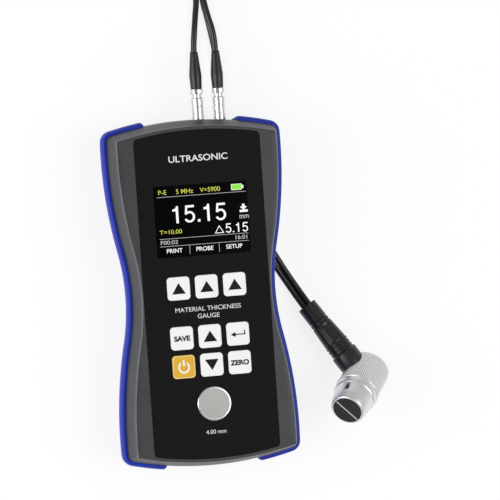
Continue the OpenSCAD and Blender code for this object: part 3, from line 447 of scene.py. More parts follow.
def front_case():
    """Front shell: a section of (inset, height) carried round the outline, then a flat top to the overlay.

    From the parting plane up: tongue, upright wall, a flank that leans in by a power of its height, and a
    quarter of an ellipse for the ridge. The top, the recess wall and the inner wall lead back down.
    """
    wall, tongue, inner_wall = 2.2, 3.6, 6.4
    parting_z, tongue_z, wall_z, flank_z = 11.0, 12.1, 20.9, 21.3
    flank_w, flank_h, flank_power = 2.4, 9.2, 1.15
    ridge_in, ridge_w, ridge_h = 4.6, 0.85, 1.5
    overlay_gap, recess_z, roof_z, inner_z = 0.1, 31.4, 29.0, 20.0
    p, n = outline()
    a = np.linspace(0, QUARTER, 9)
    ridge = np.stack([ridge_in + ridge_w * (1 - np.cos(a)), BODY_H - ridge_h * (1 - np.sin(a))], 1)
    lean = np.linspace(0, 1, 7)[:-1]
    flank = np.stack([wall + flank_w * lean ** flank_power, flank_z + flank_h * lean], 1)
    foot = [[inner_wall, parting_z], [tongue, parting_z], [tongue, tongue_z]]
    section = np.vstack([foot, [wall, tongue_z], [wall, wall_z], flank, ridge])
    at = np.arctan2(p[:, 1], p[:, 0])
    edge = panel_edge(at) + overlay_gap
    inner = np.stack([edge * np.cos(at), edge * np.sin(at)], 1)
    rim = p + section[-1, 0] * n

    def ring(xy, z):
        return np.column_stack([xy, np.full(len(xy), z)])

    outer = [ring(p + d * n, z) for d, z in section]
    top = [ring(rim + (inner - rim) * t, BODY_H) for t in (0.33, 0.66, 1.0)]
    down = [ring(inner, z) for z in (recess_z, roof_z)]
    back = [ring(p + inner_wall * n, z) for z in (roof_z, inner_z)]
    mesh = grid_mesh("front_case", np.stack(outer + top + down + back), wrap_u=True, wrap_v=True)
    finish_piece(mesh, "front_case", "case", GAUGE, sharp=50, stands_for=["front_shell"])


def bumper(name, side, node):
    """Rubber bumper: a round section of (inset, height) carried round one side, with a foot at each corner.

    Along the path the section goes from plain to footed by a smooth step. Over a short run at both ends it
    draws in towards the case along a quarter circle, and its upper part is lowered.
    """
    tip_x, tip_run, tip_part, tip_drop = 22.0, 1.8, 0.25, 0.72
    foot_y, foot_run = 50.0, 5.0
    seat, top_z, crown_in, crown_z, crown_h, lower_z = 2.12, 21.0, 1.25, 17.6, 3.4, 14
    p, n = outline(0.45)
    keep = p[:, 0] >= tip_x
    start = np.flatnonzero(keep & ~np.roll(keep, 1))[0]
    order = (start + np.arange(keep.sum())) % len(p)
    p, n = p[order], n[order]
    run = np.concatenate([[0], np.cumsum(np.hypot(*np.diff(p, axis=0).T))])
    from_tip = np.minimum(run, run[-1] - run)
    t = np.linspace(0, QUARTER, 8)
    crown = np.stack([crown_in - crown_in * np.sin(t), crown_z + crown_h * np.cos(t)], 1)
    wall = [[0.1, 15.5], [0.45, 13.2], [0.95, 10.8], [1.5, 8.6], [2.05, 6.2]]
    hem = [[2.6, 4.4], [3.0, 3.5], [3.3, 3.2], [3.5, 3.15],
           [3.6, 3.15], [3.65, 3.15], [3.7, 3.2], [3.7, 3.4]]
    pad = [[2.6, 4.2], [2.95, 2.2], [3.2, 0.6], [3.55, 0.03],
           [5.6, 0.0], [5.8, 0.3], [5.8, 3.05], [3.7, 3.1]]
    inside = [[3.7, 6.5], [2.9, 6.65], [2.9, 9.8], [seat, 12.2]]
    plain = np.vstack([[seat, top_z], crown, wall, hem, inside])
    foot = np.vstack([[seat, top_z], crown, wall, pad, inside])
    w = smooth_step((np.abs(p[:, 1]) - foot_y) / foot_run)[:, None, None]
    section = plain * (1 - w) + foot * w
    tip = np.sqrt(1 - (1 - np.clip(from_tip / tip_run, 0.02, 1)) ** 2)
    d = seat + (section[..., 0] - seat) * (tip_part + (1 - tip_part) * tip[:, None])
    z = section[..., 1]
    z = np.where(z > lower_z, lower_z + (z - lower_z) * (tip_drop + (1 - tip_drop) * tip[:, None]), z)
    xy = p[:, None, :] + d[..., None] * n[:, None, :]
    solid = np.concatenate([xy, z[..., None]], -1) * np.array([side, 1, 1])
    mesh = grid_mesh(name, solid, wrap_v=True, cap_u=True)
    finish_piece(mesh, name, "bumper", GAUGE, sharp=55, stands_for=[node])


def rounded_square(size, r, count=14):
    """Edge of a square with round corners, anticlockwise: corner middle + r * (cos a, sin a)."""
    a = np.linspace(0, QUARTER, count)
    q = size / 2 - r
    parts = [np.stack([q * sx + r * np.cos(a + k * QUARTER), q * sy + r * np.sin(a + k * QUARTER)], 1)
             for k, (sx, sy) in enumerate([(1, 1), (-1, 1), (-1, -1), (1, -1)])]
    return np.vstack(parts)


def key(node, column, y, finish):
    """Key cap: the rounded square drawn in over a small edge radius, with a low crown in its middle."""
    base_z, wall_z, brow_z, top_z = 28.0, 31.5, 32.05, 32.35
    brow_in, brow_h, crown_h = 0.055, 0.24, 0.06
    edge = rounded_square(KEY, KEY_R)
    a = np.linspace(0, QUARTER, 6)
    base = [(s, base_z) for s in (0.0, 0.5, 1.0)]
    brow = [(1 - brow_in * (1 - math.cos(t)), brow_z + brow_h * math.sin(t)) for t in a]
    crown = [(s, top_z - crown_h * s * s) for s in (0.85, 0.6, 0.3, 0.0)]
    section = base + [(1.0, wall_z)] + brow + crown
    rings = [np.column_stack([edge * s, np.full(len(edge), z)]) for s, z in section]
    p = np.stack(rings) + np.array([column * KEY_PITCH, y, 0])
    mesh = grid_mesh(node + "_cap", p, wrap_v=True)
    finish_piece(mesh, node + "_cap", finish, node, sharp=50, stands_for=[node])


# Print on the keys, display and overlay
def flat_shape(name, loops, z, finish, body):
    """Printed shape: each closed loop of points, anticlockwise, becomes one flat face that looks up."""
    points, faces, at = [], [], 0
    for loop in loops:
        loop = np.asarray(loop, float)
        points.append(np.column_stack([loop, np.full(len(loop), z)]))
        faces.append(list(range(at, at + len(loop))))
        at += len(loop)
    mesh = bpy.data.meshes.new(name)
    mesh.from_pydata((np.vstack(points) * MM).tolist(), [], faces)
    mesh.update()
    finish_piece(mesh, name, finish, body, smooth=False)


def band(outer, inner):
    """Quads between two loops of the same length, for printed lines with a width."""
    o, i = np.asarray(outer, float), np.asarray(inner, float)
    return list(np.stack([o[:-1], o[1:], i[1:], i[:-1]], 1))


def bar(x0, y0, x1, y1):
    """Rectangle from its lower left to its upper right corner."""
    return [[x0, y0], [x1, y0], [x1, y1], [x0, y1]]


def words(name, text, x, y, z, height, finish, body, align="CENTER", weight=0.0, squeeze=1.0):
    """Lettering: a text curve filled to a flat mesh, then set to its cap height and place."""
    cap_height = 0.729
    curve = bpy.data.curves.new(name, "FONT")
    curve.body, curve.align_x, curve.size, curve.offset = text, align, 1.0, weight
    holder = bpy.data.objects.new(name, curve)
    bpy.context.scene.collection.objects.link(holder)
    graph = bpy.context.evaluated_depsgraph_get()
    mesh = bpy.data.meshes.new_from_object(holder.evaluated_get(graph))
    bpy.data.objects.remove(holder)
    v = np.zeros(len(mesh.vertices) * 3)
    mesh.vertices.foreach_get("co", v)
    k = height / cap_height
    v = v.reshape(-1, 3) * np.array([k * squeeze, k, 0]) + np.array([x, y, z])
    mesh.vertices.foreach_set("co", (v * MM).ravel())
    mesh.materials.clear()
    mesh.update()
    finish_piece(mesh, name, finish, body, smooth=False)


def figures(name, text, x, y, z, height, finish, wide=1.0):
    """A reading set from its left edge, drawn in parts of the figure height: ones, fives and points.

    The five is a bar, a leaning stem and a bowl: middle + (rx cos a, ry sin a) between two ellipses.
    """
    figure_step, point_step = 0.78, 0.39
    a = np.radians(np.linspace(-156, 142, 48))
    bowl = np.stack([np.cos(a), np.sin(a)], 1)
    middle = [0.4, 0.325]
    one = [[0.34, 0], [0.49, 0], [0.49, 1], [0.38, 1], [0.33, 0.87], [0.13, 0.81], [0.13, 0.7], [0.34, 0.7]]
    stem = [[0.115, 0.47], [0.245, 0.5], [0.29, 0.93], [0.17, 0.96]]
    five = band(middle + bowl * [0.34, 0.335], middle + bowl * [0.205, 0.215])
    signs = {"1": [one], "5": five + [bar(0.17, 0.87, 0.71, 1.0), stem], ".": [bar(0.12, 0.0, 0.28, 0.15)]}
    size = np.array([height * wide, height])
    loops = []
    for sign in text:
        loops += [np.asarray(loop) * size + [x, y] for loop in signs[sign]]
        x += (point_step if sign == "." else figure_step) * size[0]
    flat_shape(name, loops, z, finish, GAUGE)


def triangle(x, y, up):
    """Triangle mark of a key, pointing up (1) or down (-1), in the order that keeps its face upwards."""
    half_w, base, tip = 3.2, 2.5, 2.55
    return [[[x - half_w, y - base * up], [x + half_w, y - base * up], [x, y + tip * up]][::up]]


def power_mark(x, y):
    """Ring with a gap at its top and an upright bar in the gap."""
    a = np.radians(np.linspace(124, 416, 60))
    ring = np.stack([np.cos(a), np.sin(a)], 1)
    mid = np.array([x, y - 0.25])
    return band(mid + 2.8 * ring, mid + 1.95 * ring) + [bar(x - 0.42, y + 0.3, x + 0.42, y + 3.2)]


def enter_mark(x, y):
    """Arrow to the left with a short upright at its tail."""
    head = [[x - 3.5, y - 0.25], [x - 1.2, y - 1.4], [x - 1.2, y + 0.9]]
    return [bar(x - 1.4, y - 0.5, x + 3.4, y), bar(x + 2.9, y, x + 3.4, y + 1.6), head]


def key_border(x, y):
    """Band between two rounded squares, closed on itself."""
    outer = rounded_square(KEY - 0.35, KEY_R) + [x, y]
    inner = rounded_square(KEY - 1.15, KEY_R - 0.4) + [x, y]
    return band(np.vstack([outer, outer[:1]]), np.vstack([inner, inner[:1]]))


def keypad():
    """Keys with their legends, each riding with its key."""
    low_y = NAV_Y - KEY_PITCH
    marks = {
        "key_soft_left": (-1, SOFT_Y, "up"),
        "key_soft_middle": (0, SOFT_Y, "up"),
        "key_soft_right": (1, SOFT_Y, "up"),
        "key_save": (-1, NAV_Y, "SAVE"),
        "key_up": (0, NAV_Y, "up"),
        "key_enter": (1, NAV_Y, "enter"),
        "key_power": (-1, low_y, "power"),
        "key_down": (0, low_y, "down"),
        "key_zero": (1, low_y, "ZERO"),
    }
    for node, (column, y, mark) in marks.items():
        key(node, column, y, "power" if mark == "power" else "key")
        x = column * KEY_PITCH
        name = node + "_mark"
        if mark in ("up", "down"):
            flat_shape(name, triangle(x, y, 1 if mark == "up" else -1), LEGEND_Z, "ink", node)
        elif mark == "enter":
            flat_shape(name, enter_mark(x, y), LEGEND_Z, "ink", node)
        elif mark == "power":
            flat_shape(name, power_mark(x, y), LEGEND_Z, "power_mark", node)
            flat_shape(node + "_border", key_border(x, y), KEY_BORDER_Z, "power_edge", node)
        else:
            words(name, mark, x, y - 1.15, LEGEND_Z, 2.3, "ink", node, weight=0.045, squeeze=1.06)


def display_print():
    """The lit display: readings, state lines and soft-key names, placed from the display's middle."""
    x0, y0, z = 0.75, DISPLAY_Y, SCREEN_PRINT_Z
    line, state_y, state_h = 0.18, 12.6, 2.2

    def box(left, low, right, high):
        return bar(x0 + left, y0 + low, x0 + right, y0 + high)

    def shape(name, loops, finish, above=0.0):
        flat_shape(name, loops, z + above, finish, GAUGE)

    def rule(name, y):
        shape(name, [bar(x0 - 21.2, y0 + y, x0 + 20.6, y0 + y + line)], "screen_grey")

    def note(name, text, x, y, height, finish, align="LEFT", weight=0.004, squeeze=1.0):
        words(name, text, x0 + x, y0 + y, z, height, finish, GAUGE, align, weight, squeeze)

    note("screen_mode", "P-E", -20.6, state_y, state_h, "screen_yellow")
    note("screen_probe", "5 MHz", -12.2, state_y, state_h, "screen_yellow")
    note("screen_speed", "V=5900", -0.9, state_y, state_h, "screen_yellow")
    shape("screen_cell_edge", [box(13.9, 12.4, 18.9, 15.2), box(18.9, 13.1, 19.7, 14.5)], "screen_white")
    shape("screen_cell", [box(14.15, 12.65, 18.65, 14.95)], "screen_green", 0.02)
    rule("screen_rule_top", 11.4)
    figures("screen_reading", "15.15", -14.6, y0 - 0.9, z, 7.9, "screen_white", 0.95)
    arrow = np.array([[17.0, 4.6], [18.7, 3.0], [20.4, 4.6]]) + [x0 + 0.35, y0]
    shape("screen_couple", [box(17.15, 2.0, 20.95, 3.1), box(18.45, 4.3, 19.65, 5.8), arrow], "screen_white")
    note("screen_unit", "mm", 19.1, -0.9, 2.6, "screen_grey", "CENTER", squeeze=0.84)
    tri = np.array([[4.8, -6.9], [9.3, -6.9], [7.05, -3.2], [4.8, -6.9]]) + [x0, y0]
    mid = tri[:3].mean(0)
    shape("screen_delta", band(tri, mid + (tri - mid) * 0.72), "screen_white")
    figures("screen_difference", "5.15", x0 + 9.7, y0 - 7.0, z, 4.3, "screen_white", 0.94)
    note("screen_target", "T=10.00", -21.0, -5.6, 2.0, "screen_yellow", squeeze=1.13)
    rule("screen_rule_state", -7.85)
    note("screen_file", "F00:02", -21.0, -10.3, 1.9, "screen_grey", squeeze=1.2)
    note("screen_time", "16:01", 20.5, -10.3, 1.9, "screen_grey", "RIGHT", squeeze=1.15)
    rule("screen_rule_keys", -11.3)
    dividers = [bar(x0 + x, y0 - 15.4, x0 + x + line, y0 - 11.3) for x in (-7.5, 6.4)]
    shape("screen_dividers", dividers, "screen_grey")
    for k, (text, x) in enumerate((("PRINT", -14.6), ("PROBE", -0.4), ("SETUP", 13.5))):
        note("screen_soft_%d" % k, text, x, -14.3, 2.0, "screen_white", "CENTER", 0.012)


def overlay_print():
    """Generic words on the overlay."""
    z = OVERLAY_PRINT_Z
    words("overlay_kind", "ULTRASONIC", 0, 61.6, z, 3.0, "legend", GAUGE, weight=0.012, squeeze=1.12)
    words("overlay_type_1", "MATERIAL THICKNESS", 0, -7.4, z, 2.15, "legend", GAUGE, squeeze=1.06)
    words("overlay_type_2", "GAUGE", 0, -10.8, z, 2.15, "legend", GAUGE, squeeze=1.06)
    words("overlay_disc", "4.00 mm", 0, -64.6, z, 2.0, "legend", GAUGE)


def test_disc():
    """Steel test disc: a round edge between its wall and its face, turned about the upright axis."""
    edge_r, chamfer = 0.5, 0.3
    low, high = (np.array(v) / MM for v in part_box("test_disc"))
    r = (high[0] - low[0]) / 2
    t = np.linspace(0, QUARTER, 7)
    edge = list(zip(high[2] - edge_r + edge_r * np.sin(t), r - edge_r + edge_r * np.cos(t)))
    face = [(high[2], r * k) for k in (0.9, 0.75, 0.5, 0.25, 0.0)]
    profile = [(low[2], 0.0), (low[2], r - chamfer), (low[2] + chamfer, r)] + edge + face
    mesh = lathe("disc_polished", profile, (DISC_Y * Y, X, Y, Z), 128)
    finish_piece(mesh, "disc_polished", "disc", GAUGE, sharp=50, stands_for=["test_disc"])


# Plugs, probe and cables
def cable_plugs():
    """Push-pull plugs: release sleeve with two knurled bands, collet nut, and a tapered bend relief."""
    for side, x in zip(("left", "right"), PLUG_XS):
        axes = (np.array([x, 0.0, PLUG_Z]), X, -Z, Y)
        release_sleeve(side, axes)
        collet_nut(side, axes)
        bend_relief(side, axes)


def release_sleeve(side, axes):
    """Sleeve: knurl depth is the product of two opposed sine helices, on both bands only."""
    bore, band_r, groove, length = 2.15, 2.7, 2.3, 11.0
    knurl_depth, knurl_lead, knurl_count = 0.035, 2.2, 9
    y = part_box("plug_sleeve_" + side)[0][1] / MM
    front = steps((0, bore, 0, 2.5, 3), (0.15, 2.65, 0.45, band_r, 2), (0.5, band_r, 3.3, band_r, 14),
                  (3.4, 2.68, 3.45, groove, 2))
    middle = steps((3.7, groove, 3.75, 2.6, 2), (4.0, 2.64, 6.9, 2.64, 4), (7.15, 2.6, 7.2, groove, 2),
                   (7.45, groove, 7.5, 2.68, 2))
    back = steps((7.6, band_r, 10.4, band_r, 14), (10.5, band_r, 10.8, 2.6, 2),
                 (length, 2.45, length, bore, 3), (length, bore, 0, bore, 2))
    profile = np.array(front + middle + back) + [y, 0]

    def knurl(a, h):
        on = ((h > y + 0.48) & (h < y + 3.32)) | ((h > y + 7.58) & (h < y + 10.42))
        turn = (h - y) * knurl_lead
        helices = np.sin(knurl_count * a + turn) * np.sin(knurl_count * a - turn)
        return np.where(on, knurl_depth * np.abs(helices), 0.0)

    name = "sleeve_" + side
    body = "plug_sleeve_" + side
    finish_piece(lathe(name, profile, axes, 144, knurl), name, "nickel", body, sharp=40, stands_for=[body])


def collet_nut(side, axes):
    """Nut behind the sleeve: a ring with two flats, cut where the sine of the angle is past 0.8."""
    bore, ring_r, length = 2.05, 2.85, 2.8
    flat_depth, flat_from = 0.2, 0.8
    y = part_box("plug_collet_" + side)[0][1] / MM
    profile = np.array(steps(
        (0, bore, 0.5, 2.1, 3), (0.55, 2.7, 0.7, ring_r, 3), (0.75, ring_r, 2.5, ring_r, 6),
        (2.6, ring_r, length, 2.65, 2), (length, 2.6, length, bore, 3), (length, bore, 0, bore, 2),
    )) + [y, 0]

    def flats(a, h):
        cut = flat_depth * smooth_step((np.abs(np.sin(a)) - flat_from) / 0.2)
        return np.where((h > y + 0.72) & (h < y + 2.55), cut, 0.0)

    name = "collet_" + side
    mesh = lathe(name, profile, axes, 96, flats)
    finish_piece(mesh, name, "nickel", GAUGE, sharp=40, stands_for=["plug_collet_" + side])


def bend_relief(side, axes):
    """Rubber relief: swells a little from its root and tapers evenly to the cable."""
    root_r, swell_r, swell_run = 2.62, 0.26, 6.0
    taper_r, taper_from = 1.08, 6.6
    y0, y1 = (v[1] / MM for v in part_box("plug_relief_" + side))
    t = np.linspace(0, 1, 17)
    reach = y1 - y0 - 0.3
    swell = root_r + swell_r * np.minimum(t * reach / swell_run, 1)
    taper = taper_r * np.maximum(t * reach - taper_from, 0) / (reach - taper_from)
    wall = list(zip(y0 + 0.12 + t * reach, swell - taper))
    profile = [(y0, 0.0), (y0, 2.5)] + wall + [(y1, 1.65), (y1, 0.0)]
    name = "relief_" + side
    mesh = lathe(name, profile, axes, 48)
    finish_piece(mesh, name, "boot", GAUGE, sharp=40, stands_for=["plug_relief_" + side])


def probe_frames():
    """The probe's own axes, and those of its cable entry: both from the same angles as the solids."""
    t, e = math.radians(PROBE_TURN), math.radians(PROBE_RISE)
    axis = np.array([math.cos(e) * math.cos(t), math.cos(e) * math.sin(t), math.sin(e)])
    x = np.array([math.sin(e) * math.cos(t), math.sin(e) * math.sin(t), -math.cos(e)])
    y = np.array([-math.sin(t), math.cos(t), 0.0])
    back = np.array([*PROBE_BACK, PROBE_R * math.cos(e)])
    mid = back + ENTRY_L * axis
    away = BOOT_TIP - mid
    length = np.linalg.norm(away)
    g = away / length
    gx = np.cross(Z, g)
    gx /= np.linalg.norm(gx)
    return (back, x, y, axis), (mid, gx, np.cross(g, gx), g), length


def probe():
    """Probe: knurled housing, turned nose ring, and the moulded collar with its bend relief."""
    body, entry, length = probe_frames()
    knurled_housing(body)
    nose_ring(body, entry)
    probe_boot(body, entry, length)


def knurled_housing(body):
    """Housing with a round back edge, a rim and 64 straight ridges.

    The cut between them is deepest where the sine of 32 times the angle is 0, and none where it is 1 or -1.
    """
    edge_r, rim_r, groove, bore, floor_h = 2, 10.3, 9.75, 8.2, 3.0
    waves, depth = 32, 0.42
    end = RIM_H
    t = np.linspace(0, QUARTER, 8)
    edge = list(zip(edge_r * (1 - np.cos(t)), PROBE_R - edge_r + edge_r * np.sin(t)))
    wall = steps((2.2, PROBE_R, end - 1.35, PROBE_R, 26), (end - 1.2, groove, end - 1.0, groove, 2),
                 (end - 0.9, rim_r, end - 0.25, rim_r, 3))
    inside = [(end, 10.05), (end, bore), (floor_h, bore), (floor_h, 0.0)]

    def knurl(a, h):
        on = smooth_step((h - 1.0) / 0.8) * (h < end - 1.3)
        return depth * on * (1 - np.abs(np.sin(waves * a)))

    mesh = lathe("housing_knurled", [(0.0, 0.0)] + edge + wall + inside, body, 640, knurl)
    finish_piece(mesh, "housing_knurled", "probe", GAUGE, sharp=60, stands_for=["probe_housing"])


def nose_ring(body, entry):
    """Nose ring: shoulder, small step, taper and round edge, with a notch and a fine slit along one side.

    A dark sheet of painted shade lies in the notch, near its floor: axis point + radius * (cos a * x + sin a
    * y) over its length and width.
    """
    notch_0, notch_1, notch_depth, notch_half = 24.1, 28.2, 1.6, 0.12
    slit_depth, slit_half, notch_turn = 0.25, 0.016, -36
    round_h, spigot_h, spigot_r = 32.7, RIM_H - 8, 8.1
    step_h, near = 23.5, 0.03
    root = [(spigot_h, FACE_R), (spigot_h, spigot_r), (RIM_H + 0.05, spigot_r), (RIM_H + 0.05, 9.85)]
    shoulder = [(RIM_H + 0.25, 10.05), (22.8, 10.0), (23.1, 9.85)]
    h = np.array([step_h, notch_0 - near, notch_0 + near, 25.4, 26.8,
                  notch_1 - near, notch_1 + near, 29.6, 31.4])
    cone = list(zip(h, np.interp(h, [step_h, 25.4, 29.6, round_h], [9.5, 9.25, 8.75, 8.0])))
    tip = [(round_h, 8.0), (FACE_H - 0.2, 7.85), (FACE_H - 0.05, 7.65), (FACE_H, 7.45), (FACE_H, FACE_R)]
    origin, x, y, axis = body
    at = math.atan2(entry[3].dot(y), entry[3].dot(x)) + math.radians(notch_turn)

    def notch(a, k):
        off = np.abs(np.angle(np.exp(1j * (a - at))))
        pocket = (off < notch_half) & (k > notch_0) & (k < notch_1)
        slit = (off < slit_half) & (k > notch_1) & (k < round_h)
        return notch_depth * pocket + slit_depth * slit

    mesh = lathe("nose_ring", root + shoulder + cone + tip + root[:1], body, 320, notch)
    finish_piece(mesh, "nose_ring", "probe", GAUGE, sharp=30, stands_for=["probe_nose_ring"])
    # Painted shade: a dark sheet inside the notch darkens the pocket.
    turn = at + np.linspace(-0.11, 0.11, 9)
    ray = np.cos(turn)[:, None] * x + np.sin(turn)[:, None] * y
    along = np.linspace(notch_0 + 0.1, notch_1 - 0.1, 5)
    radius = np.linspace(7.95, 7.75, 5)
    shade_points = origin + along[:, None, None] * axis + radius[:, None, None] * ray[None]
    shade_sheet = grid_mesh("nose_slot", shade_points)
    shade_sheet.flip_normals()
    finish_piece(shade_sheet, "nose_slot", "delay", GAUGE)


def probe_boot(body, entry, length):
    """Collar and bend relief in one: the collar ends where a ray is a housing radius from the probe's axis.

    Past it come three rings, a grip with two flats, cut where the sine of the angle is past 0.7, and a tip.
    """
    axis, away = body[3], entry[3]
    flat = away - away.dot(axis) * axis
    slant = flat.dot(flat)
    s1 = (PROBE_R + 0.1) / math.sqrt(slant) + 5.4
    start, stop = s1 + 6.1, length - 11.6

    def seat(ray, radius):
        w = radius[..., None] * (ray - (ray @ axis)[..., None] * axis)
        b = w @ flat
        c = (w * w).sum(-1) - (PROBE_R + 0.06) ** 2
        return (np.sqrt(np.maximum(b * b - slant * c, 0)) - b) / slant

    def facet(a, h):
        on = smooth_step((h - s1 - 6.2) / 0.5) * (h < length - 11.8)
        return 0.45 * on * smooth_step((np.abs(np.sin(a)) - 0.7) / 0.2)

    collar = [(0, 0.0), (0, 2.0), (0, 4.0), (0, 5.6), (0, 6.3), (9.0, 6.4),
              (s1 - 0.9, 6.45), (s1 - 0.3, 6.2), (s1 + 0.1, 5.5)]
    ring = [(0.25, 5.5), (0.5, 5.5), (0.65, 5.85), (1.6, 5.8), (1.75, 5.5)]
    rings = [(s1 + 1.9 * k + h, r) for k in range(3) for h, r in ring]
    grip = steps((start, 5.6, stop, 4.95, 12), (stop + 0.2, 4.55, stop + 0.7, 4.55, 2),
                 (stop + 0.9, 4.85, stop + 2.1, 4.8, 3), (stop + 2.3, 4.5, stop + 2.8, 4.5, 2),
                 (stop + 3.0, 4.72, length - 0.3, 4.62, 6))
    profile = collar + rings + grip + [(length, 4.35), (length, 0.0)]
    mesh = lathe("probe_boot", profile, entry, 128, facet, seat)
    finish_piece(mesh, "probe_boot", "boot", GAUGE, sharp=38, stands_for=["probe_relief", "probe_collar"])


def through(points, step=0.8):
    """A smooth curve through given points: Catmull-Rom pieces, then even steps along its length."""
    q = np.asarray(points, float)
    ends = np.vstack([2 * q[0] - q[1], q, 2 * q[-1] - q[-2]])
    t = np.linspace(0, 1, 24, endpoint=False)[:, None]
    p0, p1, p2, p3 = ends[:-3, None], ends[1:-2, None], ends[2:-1, None], ends[3:, None]
    square = 2 * p0 - 5 * p1 + 4 * p2 - p3
    cube = 3 * p1 - p0 - 3 * p2 + p3
    c = 0.5 * (2 * p1 + (p2 - p0) * t + square * t ** 2 + cube * t ** 3)
    c = np.vstack([c.reshape(-1, 3), q[-1:]])
    run = np.concatenate([[0], np.cumsum(np.linalg.norm(np.diff(c, axis=0), axis=1))])
    at = np.linspace(0, run[-1], int(run[-1] / step) + 1)
    return np.stack([np.interp(at, run, c[:, k]) for k in range(3)], 1)


def coil_route(strand):
    """One strand of the coil, clockwise from its left: three turns inwards above, then three outwards below.

    The radius steps by a pair of cables over part of each turn. Before the layers change, the left strand
    (1) passes over the right one (-1) in a low hump, so that both are of about one length.
    """
    upper_z = 4.9
    a = np.arange(0, 2071, 15.0)
    pair = 2 * CABLE_D
    inward = smooth_step((a - 300) / 60) + smooth_step((a - 660) / 60)
    outward = smooth_step((a - 1350) / 40) + smooth_step((a - 1710) / 40)
    across = strand * CABLE_D / 2 * (1 - 2 * smooth_step((a - 825) / 90))
    hump = 1.02 * CABLE_D * smooth_step((a - 790) / 60) * (1 - smooth_step((a - 890) / 60))
    r = COIL_IN_R + 2 * pair - pair * inward + pair * outward + across
    z = upper_z - CABLE_D * smooth_step((a - 1000) / 60) + hump * (strand > 0)
    phi = np.radians(180 - a)
    return np.stack([COIL_C[0] + r * np.cos(phi), COIL_C[1] + r * np.sin(phi), z], 1)


def tube(path, d, sides=14):
    """Round cable: path point + d/2 * (cos a * level side + sin a * upper side), square to the path."""
    t = np.gradient(path, axis=0)
    t /= np.linalg.norm(t, axis=1)[:, None]
    s = np.cross(t, Z)
    s /= np.linalg.norm(s, axis=1)[:, None]
    u = np.cross(s, t)
    a = np.linspace(0, 2 * np.pi, sides, endpoint=False)
    ray = np.cos(a)[None, :, None] * s[:, None] + np.sin(a)[None, :, None] * u[:, None]
    return path[:, None] + d / 2 * ray


# The cables' points, as in the part's source: from each plug to the coil, and from the coil to the probe
TAIL_LEFT = [
    (4.5, 111.3, 17), (4.8, 116, 17), (5.6, 122, 16.6), (6.8, 129, 15.4), (8.1, 137, 13.4), (8.1, 148, 10.2),
    (8, 159, 7.2), (8.2, 169, 5.4),
]
TAIL_RIGHT = [
    (14.7, 111.3, 17), (14.6, 116, 17), (13.9, 122, 16.6), (12.4, 129, 15.4), (11.3, 137, 13.4),
    (11.1, 148, 10.2), (11, 159, 7.2), (11, 169, 5.4),
]
RETURN_LEFT = [
    (31, 152.2, 1.9), (25.4, 152.2, 1.6), (19.8, 151, 1.4), (15, 147.8, 1.4), (11.8, 143, 1.4),
    (10.6, 137.4, 1.4), (10.2, 133, 1.4), (9.6, 129, 1.4), (8.4, 119, 1.4), (7.5, 110, 1.4), (7.5, 97, 1.4),
    (7.7, 84, 1.4), (9.2, 70, 1.4), (13.2, 55, 1.4), (19.6, 41, 1.4), (27.7, 28.7, 1.4), (35.2, 16.6, 1.4),
    (42.4, 4.2, 1.6), (47.8, -5, 2.6), (49.8, -8.4, 3.4), (50.8, -10.1, 3.9), (51.8, -11.8, 4.4),
]
RETURN_RIGHT = [
    (31, 149.4, 1.9), (25.4, 149.4, 1.6), (20.8, 148.4, 1.4), (17, 145.8, 1.4), (14.4, 142, 1.4),
    (13.5, 137.4, 1.4), (13.9, 133, 1.4), (14.8, 129, 1.4), (16.6, 119, 1.4), (17.8, 110, 1.4),
    (17.8, 97, 1.4), (17.8, 84, 1.4), (18.4, 70, 1.4), (20.4, 56, 1.4), (25, 42.6, 1.4), (30.9, 30.5, 1.4),
    (37.8, 18.2, 1.4), (44.8, 5.6, 1.6), (50.2, -3.6, 2.6), (52.2, -7, 3.4), (53.2, -8.7, 3.9),
    (54.2, -10.4, 4.4),
]


def cables():
    """Both coaxial cables, each from its plug through the coil to the probe."""
    runs = (
        ("left", TAIL_LEFT, 1, RETURN_LEFT, ["tail_left", "return_left"]),
        ("right", TAIL_RIGHT, -1, RETURN_RIGHT, ["tail_right", "return_right", "cable_coil"]),
    )
    for side, tail, strand, back, nodes in runs:
        route = through(tail + coil_route(strand).tolist() + back)
        name = "coax_" + side
        mesh = grid_mesh(name, tube(route, CABLE_D), wrap_v=True, cap_u=True)
        o = finish_piece(mesh, name, "rubber", GAUGE, sharp=60, stands_for=nodes)


# Solids that keep their shape and take a finish
SOLIDS = {
    "back": ["rear_shell", "battery_door"],
    "film": ["front_overlay"],
    "glass": ["display_window"],
    "board": ["main_board"],
    "steel": ["display_module", "board_screws", "snap_domes", "case_screws", "door_screws",
              "battery_contacts"],
    "cell": ["battery_cells"],
    "nickel": ["socket_left", "socket_right", "socket_nuts", "plug_core_left", "plug_core_right"],
    "delay": ["probe_delay_transmit", "probe_delay_receive"],
    "cork": ["probe_barrier", "probe_crystals"],
    "boot": ["coil_tie"],
}
for finish_name, node_names in SOLIDS.items():
    for node_name in node_names:
        dress(node_name, finish_name)

front_case()
bumper("bumper_right_round", 1, "bumper_right")
bumper("bumper_left_round", -1, "bumper_left")
keypad()
display_print()
overlay_print()
test_disc()
cable_plugs()
probe()
cables()


# Stage, light and camera
def stand(name, data, x, y, z, at):
    """Put a camera or lamp into the scene, with its own axes x, y and z at a place in metres."""
    o = bpy.data.objects.new(name, data)
    bpy.context.scene.collection.objects.link(o)
    m = np.eye(4)
    m[:3, 0], m[:3, 1], m[:3, 2], m[:3, 3] = x, y, z, at
    o.matrix_world = Matrix(m.tolist())
    return o


